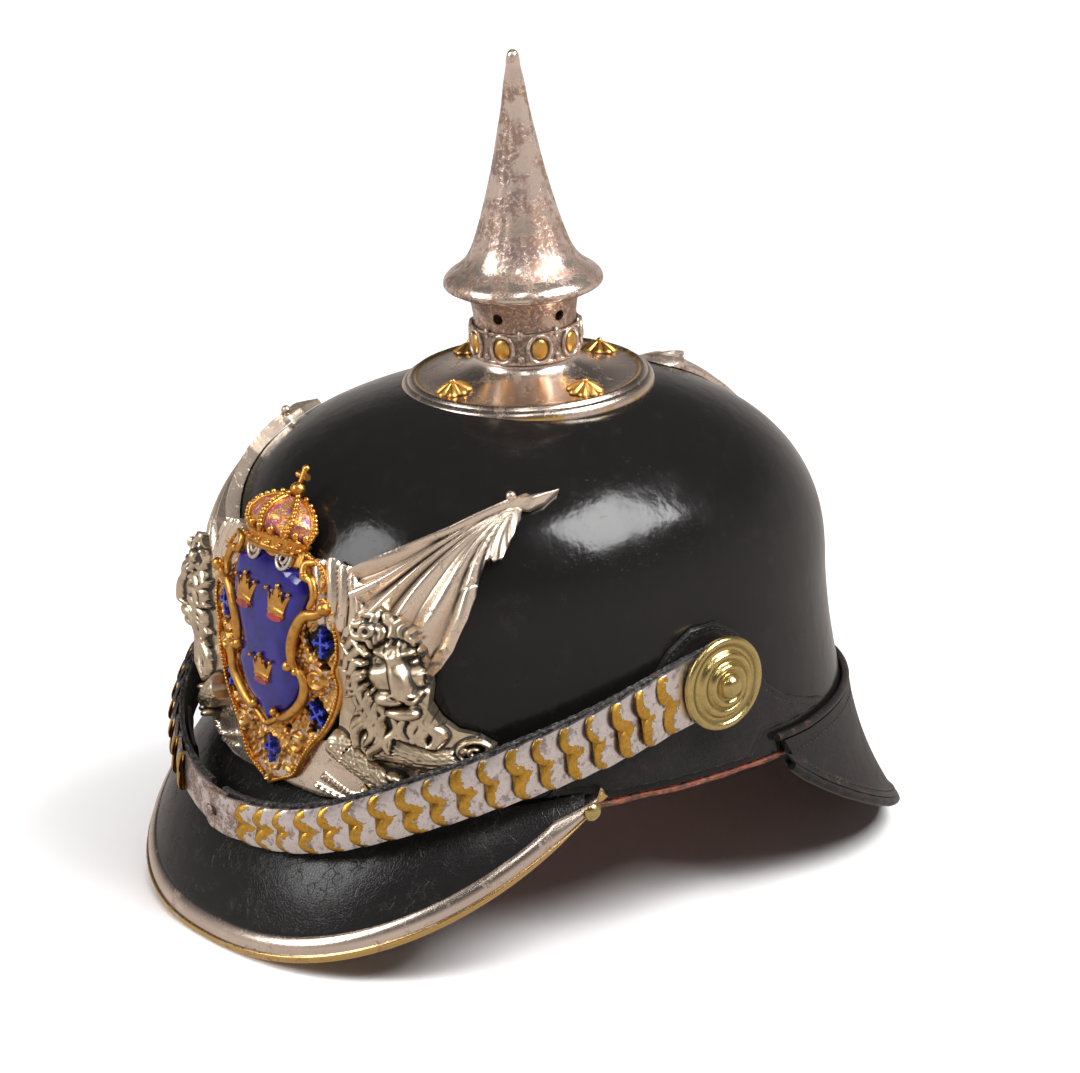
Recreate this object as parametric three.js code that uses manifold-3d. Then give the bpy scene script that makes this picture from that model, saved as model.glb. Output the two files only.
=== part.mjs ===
// Black leather officer's parade helmet with a metal spike, an armorial front plate and chin scales.
// Millimetres. Helmet frame: +Z up the spike, -Y to the front, +X to the wearer's left, and the origin
// at the skull's middle, on the level of its lower edge.
import * as THREE from "three";
import { mergeVertices } from "three/addons/utils/BufferGeometryUtils.js";
import Module from "manifold-3d";

const wasm = await Module();
wasm.setup();

// ---------------------------------------------------------------- driving dimensions
const TILT = THREE.MathUtils.degToRad(3.2); // the helmet leans forward, resting on visor and neck guard
const GAP = 0.35; // between pieces that touch on the real helmet

// The skull: half axes of its plan at the springing line, and the exponents of its profiles.
const SKULL = { side: 92, front: 99, back: 109, top: 122.5, springing: 52, wall: 2.4, squareness: 2.25 };
const PROFILE = {
  side: { power: 2.85, root: 2.1, flare: 2 }, // flare: how far out the lower edge stands, in mm
  front: { power: 2.65, root: 2.3, flare: 2.5 },
  back: { power: 2.25, root: 2.4, flare: 7 },
};
const FLARE_HEIGHT = 48; // the wall flares outwards below this height
const EDGE = { height: 5, slope: 0.08, front: -22, back: 45 }; // lower edge, falling towards the back

// The two brims: ends is half their sweep round the skull in degrees, and middle and rise place their root
// above the skull's edge. Their rims are half superellipses that drop from the ends to the middle.
const VISOR = { thickness: 2, ends: 72, middle: -0.4, rise: 5, bulge: 3.5, trimWidth: 7.5, trimThickness: 2.8 };
const VISOR_RIM = { width: 92.5, end: -36, reach: 98.5, squareness: 2.3, endHeight: 13, height: -40.2, drop: 0.72 };
const GUARD = { thickness: 2, ends: 76, middle: 1.5, rise: 4, bulge: -3, bindingRadius: 1.7, weltRadius: 1.4 };
const GUARD_RIM = { width: 94.6, end: 34, reach: 99, squareness: 2.4, endHeight: 6, height: -54, drop: 0.6 };
const SWEATBAND = { thickness: 1.4, below: 3.2, above: 26 };

const SPIKE_AXIS = 9.25; // how far behind the skull's middle the spike stands
const PLATE = { radius: 42.8, rim: 119.8, skirt: 110, neck: 17.6, neckHeight: 129.2, metal: 1.2 };
const COLLAR = { radius: 17.2, lip: 19.4, bottom: 129.6, top: 151.4, wall: 1.1, vents: 5, ventRadius: 1.9 };
const BAND = { radius: 17.7, wall: 0.8, bottom: 129.9, top: 141, ovals: 9 };
const SPIKE = { top: 233.5, brim: 26.9, brimHeight: 154.6, lip: 151.9 };
const STUD = { count: 4, circle: 31, radius: 5, height: 3.4, lean: 0.13, seat: 122.75 };

const BOSS = { y: 7, z: 38.5, radius: 15.8, height: 7.5 };
const BOSS_FACE = 99.2; // how far out of the middle the boss's back lies
const SPINE = { width: 6.5, thickness: 1.8, start: 115.3, end: 10 };
const STRAP = { halfWidth: 8.4, frontHalfWidth: 5.6, thickness: 1.6 };
const SCALE = { metal: 0.9, seat: 2.25, lift: 1.9, crown: 0.9, overlap: 2.6, lobe: 1.8 };
const SCALE_WIDTH = { boss: 11.6, front: 6.8 }; // half widths at the boss and over the visor
const HOOK = { slotLength: 6.5, slotWidth: 3, stud: 1.1, place: 0.521 }; // place: share of the strap's length
const SCALES_LEFT = 18;
const SCALES_RIGHT = 15;
const SCALES_PER_SOLID = 3;

const DOME_COLUMNS = 40;
const DOME_ROWS = 12;
const PITCH_STEPS = 5; // strips across one scale

// ---------------------------------------------------------------- finishes
const finish = (color, roughness, metalness) => new THREE.MeshStandardMaterial({ color, roughness, metalness });
const blackLeather = finish(0x0d0c0c, 0.28, 0);
const brownLeather = finish(0x5a2e1f, 0.7, 0);
const silver = finish(0xc9beb4, 0.3, 1);
const gilt = finish(0xd39a3c, 0.32, 1);
const brass = finish(0xc9ac5c, 0.3, 1);
const enamel = finish(0x1d1a78, 0.15, 0);

// ---------------------------------------------------------------- mesh helpers
const signedPower = (a, p) => Math.sign(a) * Math.abs(a) ** p;
const lerp = THREE.MathUtils.lerp;
const clamp = THREE.MathUtils.clamp;

// A closed mesh from loose triangles: shared corners merged, flat triangles dropped, faces turned outwards.
function closedMesh(corners) {
  const loose = new THREE.BufferGeometry().setFromPoints(corners);
  const merged = mergeVertices(loose, 1e-4);
  const index = merged.index.array;
  const place = merged.getAttribute("position");
  const corner = (i) => new THREE.Vector3().fromBufferAttribute(place, i);
  const kept = [];
  let volume = 0;
  for (let i = 0; i < index.length; i += 3) {
    const [a, b, c] = [index[i], index[i + 1], index[i + 2]];
    if (a === b || b === c || c === a) continue;
    kept.push([a, b, c]);
    volume += corner(a).dot(corner(b).cross(corner(c)));
  }
  merged.setIndex(kept.flatMap(([a, b, c]) => (volume < 0 ? [a, c, b] : [a, b, c])));
  merged.computeVertexNormals();
  return merged;
}

// A solid between two sheets of points, outer(i, j) and inner(i, j); closed says that i runs round a ring.
function betweenSheets(columns, rows, closed, outer, inner) {
  const corners = [];
  const quad = (a, b, c, d) => corners.push(a, b, c, a, c, d);
  const wrap = (i) => (closed ? i % columns : i);
  for (let i = 0; i < columns; i++) {
    const next = wrap(i + 1);
    for (let j = 0; j < rows; j++) {
      quad(outer(i, j), outer(next, j), outer(next, j + 1), outer(i, j + 1));
      quad(inner(i, j + 1), inner(next, j + 1), inner(next, j), inner(i, j));
    }
    quad(inner(i, 0), inner(next, 0), outer(next, 0), outer(i, 0));
    quad(outer(i, rows), outer(next, rows), inner(next, rows), inner(i, rows));
  }
  if (!closed)
    for (let j = 0; j < rows; j++) {
      quad(inner(0, j + 1), inner(0, j), outer(0, j), outer(0, j + 1));
      quad(outer(columns, j + 1), outer(columns, j), inner(columns, j), inner(columns, j + 1));
    }
  return closedMesh(corners);
}

// A bent sheet, whose middle is place(u, v) for u and v from 0 to 1.
function bentSheet(columns, rows, thickness, place) {
  const step = 1e-4;
  const point = (i, j, side) => {
    const u = clamp(i / columns, step, 1 - step);
    const v = clamp(j / rows, step, 1 - step);
    const along = place(u + step, v).sub(place(u - step, v));
    const across = place(u, v + step).sub(place(u, v - step));
    const normal = along.cross(across).normalize();
    return place(i / columns, j / rows).addScaledVector(normal, (side * thickness) / 2);
  };
  const grid = (side) => {
    const points = new Map();
    return (i, j) => {
      const key = i * (rows + 1) + j;
      if (!points.has(key)) points.set(key, point(i, j, side));
      return points.get(key).clone();
    };
  };
  return betweenSheets(columns, rows, false, grid(1), grid(-1));
}

function solidOf(geometry) {
  const bare = geometry.clone();
  bare.deleteAttribute("normal");
  bare.deleteAttribute("uv");
  const merged = mergeVertices(bare, 1e-4);
  return new wasm.Manifold(
    new wasm.Mesh({
      numProp: 3,
      vertProperties: merged.getAttribute("position").array,
      triVerts: new Uint32Array(merged.index.array),
    }),
  );
}

function geometryOf(solid) {
  const mesh = solid.getMesh();
  const geometry = new THREE.BufferGeometry();
  geometry.setAttribute("position", new THREE.BufferAttribute(mesh.vertProperties, 3));
  geometry.setIndex(new THREE.BufferAttribute(mesh.triVerts, 1));
  geometry.computeVertexNormals();
  return geometry;
}

// A turned piece about the Z axis, from a profile of [radius, height] that closes on itself or on the axis.
function turned(profile, segments) {
  const points = profile.map(([radius, height]) => new THREE.Vector2(radius, height));
  const lathe = new THREE.LatheGeometry(points, segments).rotateX(Math.PI / 2);
  const flat = lathe.index ? lathe.toNonIndexed() : lathe;
  const place = flat.getAttribute("position");
  const corners = [];
  for (let i = 0; i < place.count; i++) corners.push(new THREE.Vector3().fromBufferAttribute(place, i));
  return closedMesh(corners);
}

function tube(points, radius, sides, steps) {
  const section = new THREE.Shape();
  section.absarc(0, 0, radius, 0, 2 * Math.PI);
  const path = new THREE.CatmullRomCurve3(points);
  const options = { extrudePath: path, steps, curveSegments: sides, bevelEnabled: false };
  return new THREE.ExtrudeGeometry(section, options);
}

// A straight prism of an outline: "front" outlines hold [x, z] and run along -Y, "side" ones [y, z] along +X.
function prism(outline, facing, near, far) {
  const shape = new THREE.Shape(outline.map(([a, b]) => new THREE.Vector2(a, b)));
  const solid = new THREE.ExtrudeGeometry(shape, { depth: far - near, bevelEnabled: false }).translate(0, 0, near);
  const frame = new THREE.Matrix4();
  if (facing === "front") frame.makeRotationX(Math.PI / 2);
  else frame.makeBasis(new THREE.Vector3(0, 1, 0), new THREE.Vector3(0, 0, 1), new THREE.Vector3(1, 0, 0));
  return solidOf(solid.applyMatrix4(frame));
}

const mirrored = (outline) => [...outline, ...outline.map(([x, z]) => [-x, z]).reverse().filter(([x]) => x !== 0)];

// ---------------------------------------------------------------- the skull's surface
function halfAxis(side, z, offset) {
  const { power, root, flare } = PROFILE[side];
  const height = clamp((z - SKULL.springing) / (SKULL.top + offset - SKULL.springing), 0, 1);
  const reach = (SKULL[side] + offset) * (1 - height ** power) ** (1 / root);
  return reach + flare * clamp((FLARE_HEIGHT - z) / FLARE_HEIGHT, 0, 2) ** 1.6;
}

// The point of the skull at a plan angle (0 at the wearer's left, a quarter turn at the back) and a height.
function skullPoint(angle, z, offset) {
  const bend = 2 / SKULL.squareness;
  const reach = halfAxis(Math.sin(angle) > 0 ? "back" : "front", z, offset);
  const x = halfAxis("side", z, offset) * signedPower(Math.cos(angle), bend);
  return new THREE.Vector3(x, reach * signedPower(Math.sin(angle), bend), z);
}

const lowerEdge = (angle) => EDGE.height - EDGE.slope * clamp(SKULL.back * Math.sin(angle), EDGE.front, EDGE.back);

// Heights from a start to the crown: even steps up to the springing line, then steps that close up at the top.
function domeHeight(step, steps, start, offset) {
  const wallSteps = Math.round(steps * 0.3);
  if (step <= wallSteps) return lerp(start, SKULL.springing, step / wallSteps);
  const turn = ((step - wallSteps) / (steps - wallSteps)) * (Math.PI / 2);
  const rise = SKULL.top + offset - SKULL.springing;
  return SKULL.springing + rise * Math.sin(turn) ** 0.8;
}

function domeShell(columns, rows, start, outerOffset, innerOffset) {
  const sheet = (offset) => (i, j) => {
    const angle = (2 * Math.PI * i) / columns;
    return skullPoint(angle, domeHeight(j, rows, start(angle), offset), offset);
  };
  return betweenSheets(columns, rows, true, sheet(outerOffset), sheet(innerOffset));
}

// The full dome grown by an offset, down to a flat bottom, for cutting pieces that lie on the skull.
function domeSolid(offset, bottom = -6) {
  const sheet = (i, j) => {
    const angle = (2 * Math.PI * i) / DOME_COLUMNS;
    return skullPoint(angle, domeHeight(j, DOME_ROWS, bottom, offset), offset);
  };
  const core = (i, j) => new THREE.Vector3(0, 0, sheet(i, j).z);
  return solidOf(betweenSheets(DOME_COLUMNS, DOME_ROWS, true, sheet, core));
}

const layerOnSkull = (cutter, low, high) => cutter.intersect(domeSolid(high)).subtract(domeSolid(low, -8));

// ---------------------------------------------------------------- pieces
const meshes = [];
function piece(name, geometry, material) {
  const mesh = new THREE.Mesh(geometry, material);
  mesh.name = name;
  meshes.push(mesh);
  return mesh;
}

function addSkull() {
  piece("skull", domeShell(DOME_COLUMNS, DOME_ROWS, lowerEdge, 0, -SKULL.wall), blackLeather);
  const outer = -SKULL.wall - 2 * GAP;
  const columns = DOME_COLUMNS;
  const rows = 3;
  const sheet = (offset) => (i, j) => {
    const angle = (2 * Math.PI * i) / columns;
    return skullPoint(angle, lowerEdge(angle) + lerp(-SWEATBAND.below, SWEATBAND.above, j / rows), offset);
  };
  piece("sweatband", betweenSheets(columns, rows, true, sheet(outer), sheet(outer - SWEATBAND.thickness)), brownLeather);
}

// A rim round half the helmet: u from 0 to 1 goes from the wearer's right end to the left end.
function rimPoint(rim, forward, u) {
  const turn = (u - 0.5) * Math.PI;
  const bend = 2 / rim.squareness;
  const lean = Math.max(Math.cos(turn), 0);
  const height = lerp(rim.endHeight, rim.height, lean ** rim.drop);
  return new THREE.Vector3(
    rim.width * signedPower(Math.sin(turn), bend),
    rim.end + forward * rim.reach * lean ** bend,
    height,
  );
}

function rootPoint(part, forward, u) {
  const turn = THREE.MathUtils.degToRad(lerp(-part.ends, part.ends, u));
  const angle = forward * (Math.PI / 2) - forward * turn;
  const height = lowerEdge(angle) + lerp(part.middle, part.rise, Math.abs(Math.sin(turn)) ** 3);
  return skullPoint(angle, height, GAP + part.thickness / 2);
}

function brimPoint(part, rim, forward, u, v) {
  const turn = (u - 0.5) * Math.PI;
  const outward = new THREE.Vector3(Math.sin(turn), forward * Math.cos(turn), 0.7 * Math.cos(turn)).normalize();
  const middle = rootPoint(part, forward, u).lerp(rimPoint(rim, forward, u), v);
  return middle.addScaledVector(outward, part.bulge * Math.sin(Math.PI * v) * Math.sqrt(Math.max(Math.cos(turn), 0)));
}

const visorPoint = (u, v) => brimPoint(VISOR, VISOR_RIM, -1, u, v);
const guardPoint = (u, v) => brimPoint(GUARD, GUARD_RIM, 1, u, v);

// The share of the way out from root to rim that stops a width in mm short of the rim, square to it.
function shortOfRim(point, u, width) {
  const outward = point(u, 1).sub(point(u, 0));
  const rim = point(Math.min(u + 0.01, 1), 1).sub(point(Math.max(u - 0.01, 0), 1)).normalize();
  return 1 - width / rim.cross(outward).length();
}

function addVisor() {
  const inner = (u) => Math.max(shortOfRim(visorPoint, u, VISOR.trimWidth), 0.36);
  const across = (u) => lerp(0.06, 0.94, u);
  const leatherEnd = (u) => inner(u) - (1 - shortOfRim(visorPoint, u, 2.5 * GAP));
  const leather = (u, v) => visorPoint(across(u), v * leatherEnd(across(u)));
  piece("visor", bentSheet(32, 4, VISOR.thickness, leather), blackLeather);
  const along = (u) => lerp(0.018, 0.982, u);
  const trim = (u, v) => visorPoint(along(u), lerp(inner(along(u)), 1, v));
  piece("visor_trim", bentSheet(36, 1, VISOR.trimThickness, trim), silver);
  for (const [side, name] of [[1, "left"], [-1, "right"]]) {
    const rivet = turned([[0, 0], [3, 0], [2.7, 1.1], [1.6, 2], [0, 2.3]], 14).rotateY((side * Math.PI) / 2);
    const seat = visorPoint(0.975, 0.6);
    piece("visor_rivet_" + name, rivet.translate(side * (seat.x + 2.5), seat.y, seat.z), brass);
  }
}

function addNeckGuard() {
  const across = (u) => lerp(0.03, 0.97, u);
  const stop = (u) => shortOfRim(guardPoint, across(u), GUARD.bindingRadius + 3 * GAP);
  const leather = (u, v) => guardPoint(across(u), v * stop(u));
  piece("neck_guard", bentSheet(32, 4, GUARD.thickness, leather), blackLeather);
  const along = (v, count) => {
    const points = [];
    for (let i = 0; i <= count; i++) points.push(guardPoint(lerp(0.015, 0.985, i / count), v));
    return points;
  };
  piece("neck_guard_binding", tube(along(1, 30), GUARD.bindingRadius, 3, 34), blackLeather);
  const welt = along(0, 30).map((p) => p.setZ(p.z + GUARD.weltRadius + GAP));
  piece("neck_guard_welt", tube(welt, GUARD.weltRadius, 3, 34), blackLeather);
}

addSkull();
addVisor();
addNeckGuard();

// ---------------------------------------------------------------- spike and its base plate
function atSpike(geometry) {
  return geometry.translate(0, SPIKE_AXIS, 0);
}

function addBasePlate() {
  const { radius, rim, skirt, neck, neckHeight, metal } = PLATE;
  const cavetto = [];
  const steps = 6;
  for (let i = 0; i <= steps; i++) {
    const turn = (i / steps) * (Math.PI / 2);
    cavetto.push([neck + (radius - 5 - neck) * (1 - Math.cos(turn)), neckHeight - 7.6 * Math.sin(turn)]);
  }
  const outside = [...cavetto, [radius - 3.6, rim + 1.6], [radius - 0.6, rim - 0.6], [radius, rim - 3], [radius, skirt]];
  const inside = [[radius - metal, skirt], [radius - metal, rim - 3], [radius - 4, rim - 0.4]];
  inside.push([neck + 2, rim - 0.4], [0, rim - 0.4]);
  const cap = solidOf(turned([[0, neckHeight], ...outside, ...inside], 30)).translate(0, SPIKE_AXIS, 0);
  piece("base_plate", geometryOf(cap.subtract(domeSolid(GAP))), silver);
}

// An umbrella-like star stud: a ridged low cone.
function addStarStuds() {
  const ridges = 8;
  for (let n = 0; n < STUD.count; n++) {
    const around = (n * 2 * Math.PI) / STUD.count;
    const stud = turned([[0, 0], [STUD.radius, 0], [STUD.radius, 0.8], [1.2, STUD.height], [0, STUD.height]], ridges * 2);
    const place = stud.getAttribute("position");
    for (let i = 0; i < place.count; i++) {
      const turn = Math.atan2(place.getY(i), place.getX(i));
      const fold = 1 - 0.16 * (1 - Math.cos(ridges * turn));
      place.setXY(i, place.getX(i) * fold, place.getY(i) * fold);
    }
    stud.rotateY(STUD.lean).translate(STUD.circle, 0, STUD.seat).rotateZ(around);
    piece("star_stud_" + (n + 1), atSpike(stud), gilt);
  }
}

function addCollar() {
  const { radius, lip, bottom, top, wall, vents, ventRadius } = COLLAR;
  const outside = [[radius, bottom], [radius, top - 7], [radius + 0.5, top - 4], [lip, top]];
  const inside = [[lip - wall, top], [radius + 0.5 - wall, top - 3.6], [radius - wall, top - 7], [radius - wall, bottom]];
  let ring = solidOf(turned([...outside, ...inside, outside[0]], 28));
  for (let n = 0; n < vents; n++) {
    const around = ((n + 0.05) / vents) * 2 * Math.PI;
    const drill = new THREE.CylinderGeometry(ventRadius, ventRadius, 12, 12).rotateZ(Math.PI / 2);
    drill.translate(radius, 0, top - 6).rotateZ(around);
    ring = ring.subtract(solidOf(drill));
  }
  piece("collar", atSpike(geometryOf(ring)), silver);

  const band = [[BAND.radius, BAND.bottom], [BAND.radius + BAND.wall, BAND.bottom], [BAND.radius + BAND.wall, BAND.top]];
  band.push([BAND.radius, BAND.top], [BAND.radius, BAND.bottom]);
  let ovals = solidOf(turned(band, 27));
  for (let n = 0; n < BAND.ovals; n++) {
    const boss = new THREE.SphereGeometry(1, 7, 4).scale(1.3, 3.3, 4.4);
    boss.translate(BAND.radius + 0.9, 0, (BAND.bottom + BAND.top) / 2).rotateZ((n / BAND.ovals) * 2 * Math.PI);
    const point = new THREE.ConeGeometry(1.6, 4.5, 4).rotateX(Math.PI / 2).scale(0.4, 1, 1);
    point.translate(BAND.radius + 0.75, 0, BAND.top + 0.6).rotateZ(((n + 0.5) / BAND.ovals) * 2 * Math.PI);
    ovals = ovals.add(solidOf(boss)).add(solidOf(point));
  }
  const bore = solidOf(new THREE.CylinderGeometry(BAND.radius, BAND.radius, 60, 27).rotateX(Math.PI / 2));
  piece("collar_band", atSpike(geometryOf(ovals.subtract(bore.translate(0, 0, 130)))), gilt);
}

// The spike: a rounded tip, a long hollow-sided cone that swells into a bell, and a turned-under brim.
function addSpike() {
  const { top, brim, brimHeight, lip, metal } = SPIKE;
  const cone = [[0, top], [1.5, top - 0.7], [2.2, top - 2.4], [3.5, top - 11.5]];
  cone.push([4.8, top - 20.5], [6.6, top - 29.5], [8.4, top - 38.5], [10.6, top - 47.5], [13.1, top - 57]);
  cone.push([16.2, top - 66], [19, top - 71.2], [23, top - 74.8], [brim - 1, top - 77.4]);
  const rim = [[brim, brimHeight], [brim - 0.6, lip + 1.2], [brim - 2, lip], [brim - 3.4, lip + 0.8], [20, lip + 1.6]];
  const hollow = [[15.4, lip + 0.9], [15.4, brimHeight + 1], [11, top - 64], [6, top - 40], [0, top - 16]];
  piece("spike", atSpike(turned([...cone, ...rim, ...hollow], 24)), silver);
}

addBasePlate();
addStarStuds();
addCollar();
addSpike();

// ---------------------------------------------------------------- leather patches and rear spine
function addSidePatches() {
  const outline = [[-25, 8.6], [-23, 26], [-18, 43], [-10, 53], [0, 57.5], [11, 57], [20, 51], [27, 41]];
  outline.push([33, 29], [43, 21], [57, 14.5], [66, 11.4], [66, 9.6], [30, 12], [24, 5.4]);
  for (const [side, name] of [[1, "left"], [-1, "right"]]) {
    const cutter = prism(outline, "side", 40, 110);
    const patch = layerOnSkull(side > 0 ? cutter : cutter.mirror([1, 0, 0]), GAP, GAP + 1.3);
    piece("side_patch_" + name, geometryOf(patch), blackLeather);
  }
}

function addSpine() {
  const start = Math.asin(((SPINE.start - SKULL.springing) / (SKULL.top - SKULL.springing)) ** (1 / 0.8));
  const place = (u, v) => {
    const rise = lerp(start, 0, clamp(v / 0.62, 0, 1));
    const above = SKULL.springing + (SKULL.top - SKULL.springing) * Math.sin(rise) ** 0.8;
    const z = v < 0.62 ? above : lerp(SKULL.springing, SPINE.end, (v - 0.62) / 0.38);
    const taper = lerp(1, 0.75, v);
    const x = lerp(-1, 1, u) * SPINE.width * taper * Math.min(1, Math.sqrt(v / 0.05) * 0.65 + 0.35);
    const offset = GAP + SPINE.thickness / 2;
    const across = (Math.abs(x) / halfAxis("side", z, offset)) ** SKULL.squareness;
    return new THREE.Vector3(x, halfAxis("back", z, offset) * (1 - across) ** (1 / SKULL.squareness), z);
  };
  piece("rear_spine", bentSheet(3, 16, SPINE.thickness, place), silver);
}

addSidePatches();
addSpine();

// ---------------------------------------------------------------- front plate and arms
const ellipseSolid = (x, y, z, [a, b, c]) =>
  solidOf(new THREE.SphereGeometry(1, 10, 7).scale(a, b, c)).translate(x, y, z);

// Lions and flags: half outline from the middle, out along the flagpole and back under the lion to the middle.
function addFrontPlate() {
  const half = [[0, 93], [15, 92], [25, 86], [32, 86], [52, 97.5], [60, 102], [67, 105.5], [65.5, 99.6]];
  half.push([69, 90], [70, 80], [65.5, 63], [61, 49], [62.5, 38], [67, 36], [71.5, 33], [72, 28.5]);
  half.push([66, 23.5], [57, 21], [50, 13], [31, 10], [0, 9]);
  let plate = layerOnSkull(prism(mirrored(half.reverse()), "front", 20, 130), GAP, GAP + 1.6);
  for (const side of [-1, 1]) {
    const mane = ellipseSolid(side * 50, -88, 54, [12.5, 9, 19]);
    const muzzle = ellipseSolid(side * 53, -97, 53, [6.5, 9, 11]);
    const body = ellipseSolid(side * 52, -86, 28, [14, 9, 8]);
    const lion = mane.add(muzzle).add(body).subtract(domeSolid(GAP, -8));
    plate = plate.add(lion);
  }
  piece("front_plate", geometryOf(plate), silver);
}

const ARMS_SEAT = GAP + 1.6 + GAP; // over the front plate
const SHIELD_RISE = 4.2;
const frontBlock = (half, near = 40) => prism(mirrored(half), "front", near, 130);

// The enamelled shield, and the gilt cartouche round it with the chain of an order and its pendant below.
function addArms() {
  const shieldHalf = [[0, 27.5], [9, 31], [16, 37.5], [19.5, 47], [20, 60], [19.5, 72], [16, 82], [8, 84], [0, 82.5]];
  const shield = layerOnSkull(frontBlock(shieldHalf), ARMS_SEAT, ARMS_SEAT + SHIELD_RISE);
  piece("shield", geometryOf(shield), enamel);

  const frameHalf = [[0, 9.6], [10, 10.4], [18, 13.5], [25, 20], [30, 32], [32, 46], [31.5, 62], [28, 76], [22, 85.5]];
  frameHalf.push([15, 88.4], [0, 88.4]);
  const room = shieldHalf.map(([x, z]) => [x > 0 ? x + 0.6 : 0, z < 50 ? z - 0.5 : z + 0.5]);
  const frame = frontBlock(frameHalf).subtract(frontBlock(room, 30));
  piece("cartouche", geometryOf(layerOnSkull(frame, ARMS_SEAT, ARMS_SEAT + 3)), gilt);
}

// The large crown: a flat circlet on the plate, a domed body with a hollow behind it, and an orb with a cross.
function addCrown() {
  const half = [[0, 89], [14, 89.6], [17.5, 100.5], [10.5, 107], [3, 109.5], [2, 117], [0, 117]];
  const body = ellipseSolid(0, -84, 99, [17, 13, 11]).intersect(frontBlock(half));
  const backing = layerOnSkull(frontBlock(half), ARMS_SEAT, ARMS_SEAT + 3);
  piece("crown", geometryOf(body.subtract(domeSolid(ARMS_SEAT, -8)).add(backing)), gilt);
}

// Three small crowns on the shield: two side by side over one.
function addShieldCrowns() {
  const half = [[0, -4.6], [3.2, -4.2], [4.8, 3.2], [2.8, 1.4], [0, 4.6]];
  const seat = ARMS_SEAT + SHIELD_RISE + GAP;
  const places = [[-8.4, 70], [8.4, 70], [0, 47.5]];
  places.forEach(([x, z], n) => {
    const outline = mirrored(half).map(([a, b]) => [a + x, b + z]);
    const crown = layerOnSkull(prism(outline, "front", 40, 130), seat, seat + 1.2);
    piece("shield_crown_" + (n + 1), geometryOf(crown), gilt);
  });
}

addFrontPlate();
addArms();
addCrown();
addShieldCrowns();

// ---------------------------------------------------------------- bosses and chin scales
// The boss: a turned disc with ring mouldings, standing on the side patch with its axis along X.
function addBosses() {
  const { radius, height } = BOSS;
  const moulding = [[0, 0], [radius, 0], [radius, 1.6], [radius - 1, 2.6], [radius - 3, 2.2], [radius - 4, 2.2]];
  moulding.push([radius - 5.5, 3.4], [radius - 7, 3.2], [radius - 8.5, 4.6], [5.2, 4.6], [4.4, 5.8]);
  moulding.push([2.8, height], [0, height]);
  for (const [side, name] of [[1, "left"], [-1, "right"]]) {
    const disc = turned(moulding, 20).rotateY((side * Math.PI) / 2);
    piece("boss_" + name, disc.translate(side * BOSS_FACE, BOSS.y, BOSS.z), brass);
  }
}

// The chin strap runs from the left boss, down and round over the visor, and up to the right boss.
const strapHalf = [[95.4, 7, 38.5], [95.6, -8, 37.2], [94.8, -22, 34.6], [92.2, -40, 30.6], [86, -59, 25.8]];
strapHalf.push([74, -81.5, 19], [57.5, -100.5, 11.4], [39.5, -112.4, 4.6], [20, -118.4, 0.6]);
const strapPoints = [...strapHalf, [0, -120.2, -0.6], ...strapHalf.map(([x, y, z]) => [-x, y, z]).reverse()];
const strapPath = new THREE.CatmullRomCurve3(strapPoints.map((p) => new THREE.Vector3(...p)), false, "centripetal");
strapPath.arcLengthDivisions = 800;
const STRAP_LENGTH = strapPath.getLength();

// A place on the strap: s mm from the left boss, w across it (-1 to 1 of its half width), raised off its middle.
function onStrap(s, w, halfWidth, raise) {
  const u = clamp(s / STRAP_LENGTH, 0, 1);
  const along = strapPath.getTangentAt(u);
  const outward = new THREE.Vector3(0, 0, 1).cross(along).normalize();
  const across = along.clone().cross(outward).normalize();
  return strapPath.getPointAt(u).addScaledVector(outward, raise).addScaledVector(across, -w * halfWidth);
}

// Half widths fall from the boss to the middle of the visor.
const widthAt = (s, wide, narrow) => {
  const run = Math.min(s, STRAP_LENGTH - s) / (STRAP_LENGTH / 2);
  return lerp(wide, narrow, clamp(run, 0, 1) ** 0.75);
};

function addStraps() {
  const end = { left: STRAP_LENGTH * 0.515, right: STRAP_LENGTH * 0.535 };
  for (const [side, from, to] of [["left", 0, end.left], ["right", end.right, STRAP_LENGTH]]) {
    const place = (u, v) => {
      const s = lerp(from, to, u);
      return onStrap(s, lerp(-1, 1, v), widthAt(s, STRAP.halfWidth, STRAP.frontHalfWidth), 0);
    };
    piece("strap_" + side, bentSheet(30, 2, STRAP.thickness, place), blackLeather);
  }
}

// A solid made about the origin, with X outwards and Y along the strap, set on the strap at s.
function setOnStrap(geometry, s, raise) {
  const along = strapPath.getTangentAt(clamp(s / STRAP_LENGTH, 0, 1));
  const outward = new THREE.Vector3(0, 0, 1).cross(along).normalize();
  const place = onStrap(s, 0, 1, raise);
  const frame = new THREE.Matrix4().makeBasis(outward, along, outward.clone().cross(along)).setPosition(place);
  return solidOf(geometry.applyMatrix4(frame));
}

// One scale: a domed tile whose front edge has two lobes and lies over the tile before it.
function scaleTile(from, pitch, facing, lift) {
  const length = pitch + SCALE.overlap;
  const place = (u, v) => {
    const w = lerp(-1, 1, v);
    const reach = length * u + SCALE.lobe * Math.abs(Math.sin(Math.PI * w)) * u;
    const s = from + facing * reach;
    const raise = SCALE.seat + lift * (reach / length) - SCALE.crown * w * w;
    return onStrap(s, w, widthAt(s, SCALE_WIDTH.boss, SCALE_WIDTH.front), raise);
  };
  return solidOf(bentSheet(2, PITCH_STEPS, SCALE.metal, place));
}

// A hidden rivet through the strap end of a tile, which holds the tile before it.
function scaleRivet(s) {
  const pin = new THREE.CylinderGeometry(1.2, 1.2, 1.6, 4).rotateZ(Math.PI / 2);
  return setOnStrap(pin, s, SCALE.seat + 1);
}

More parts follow.
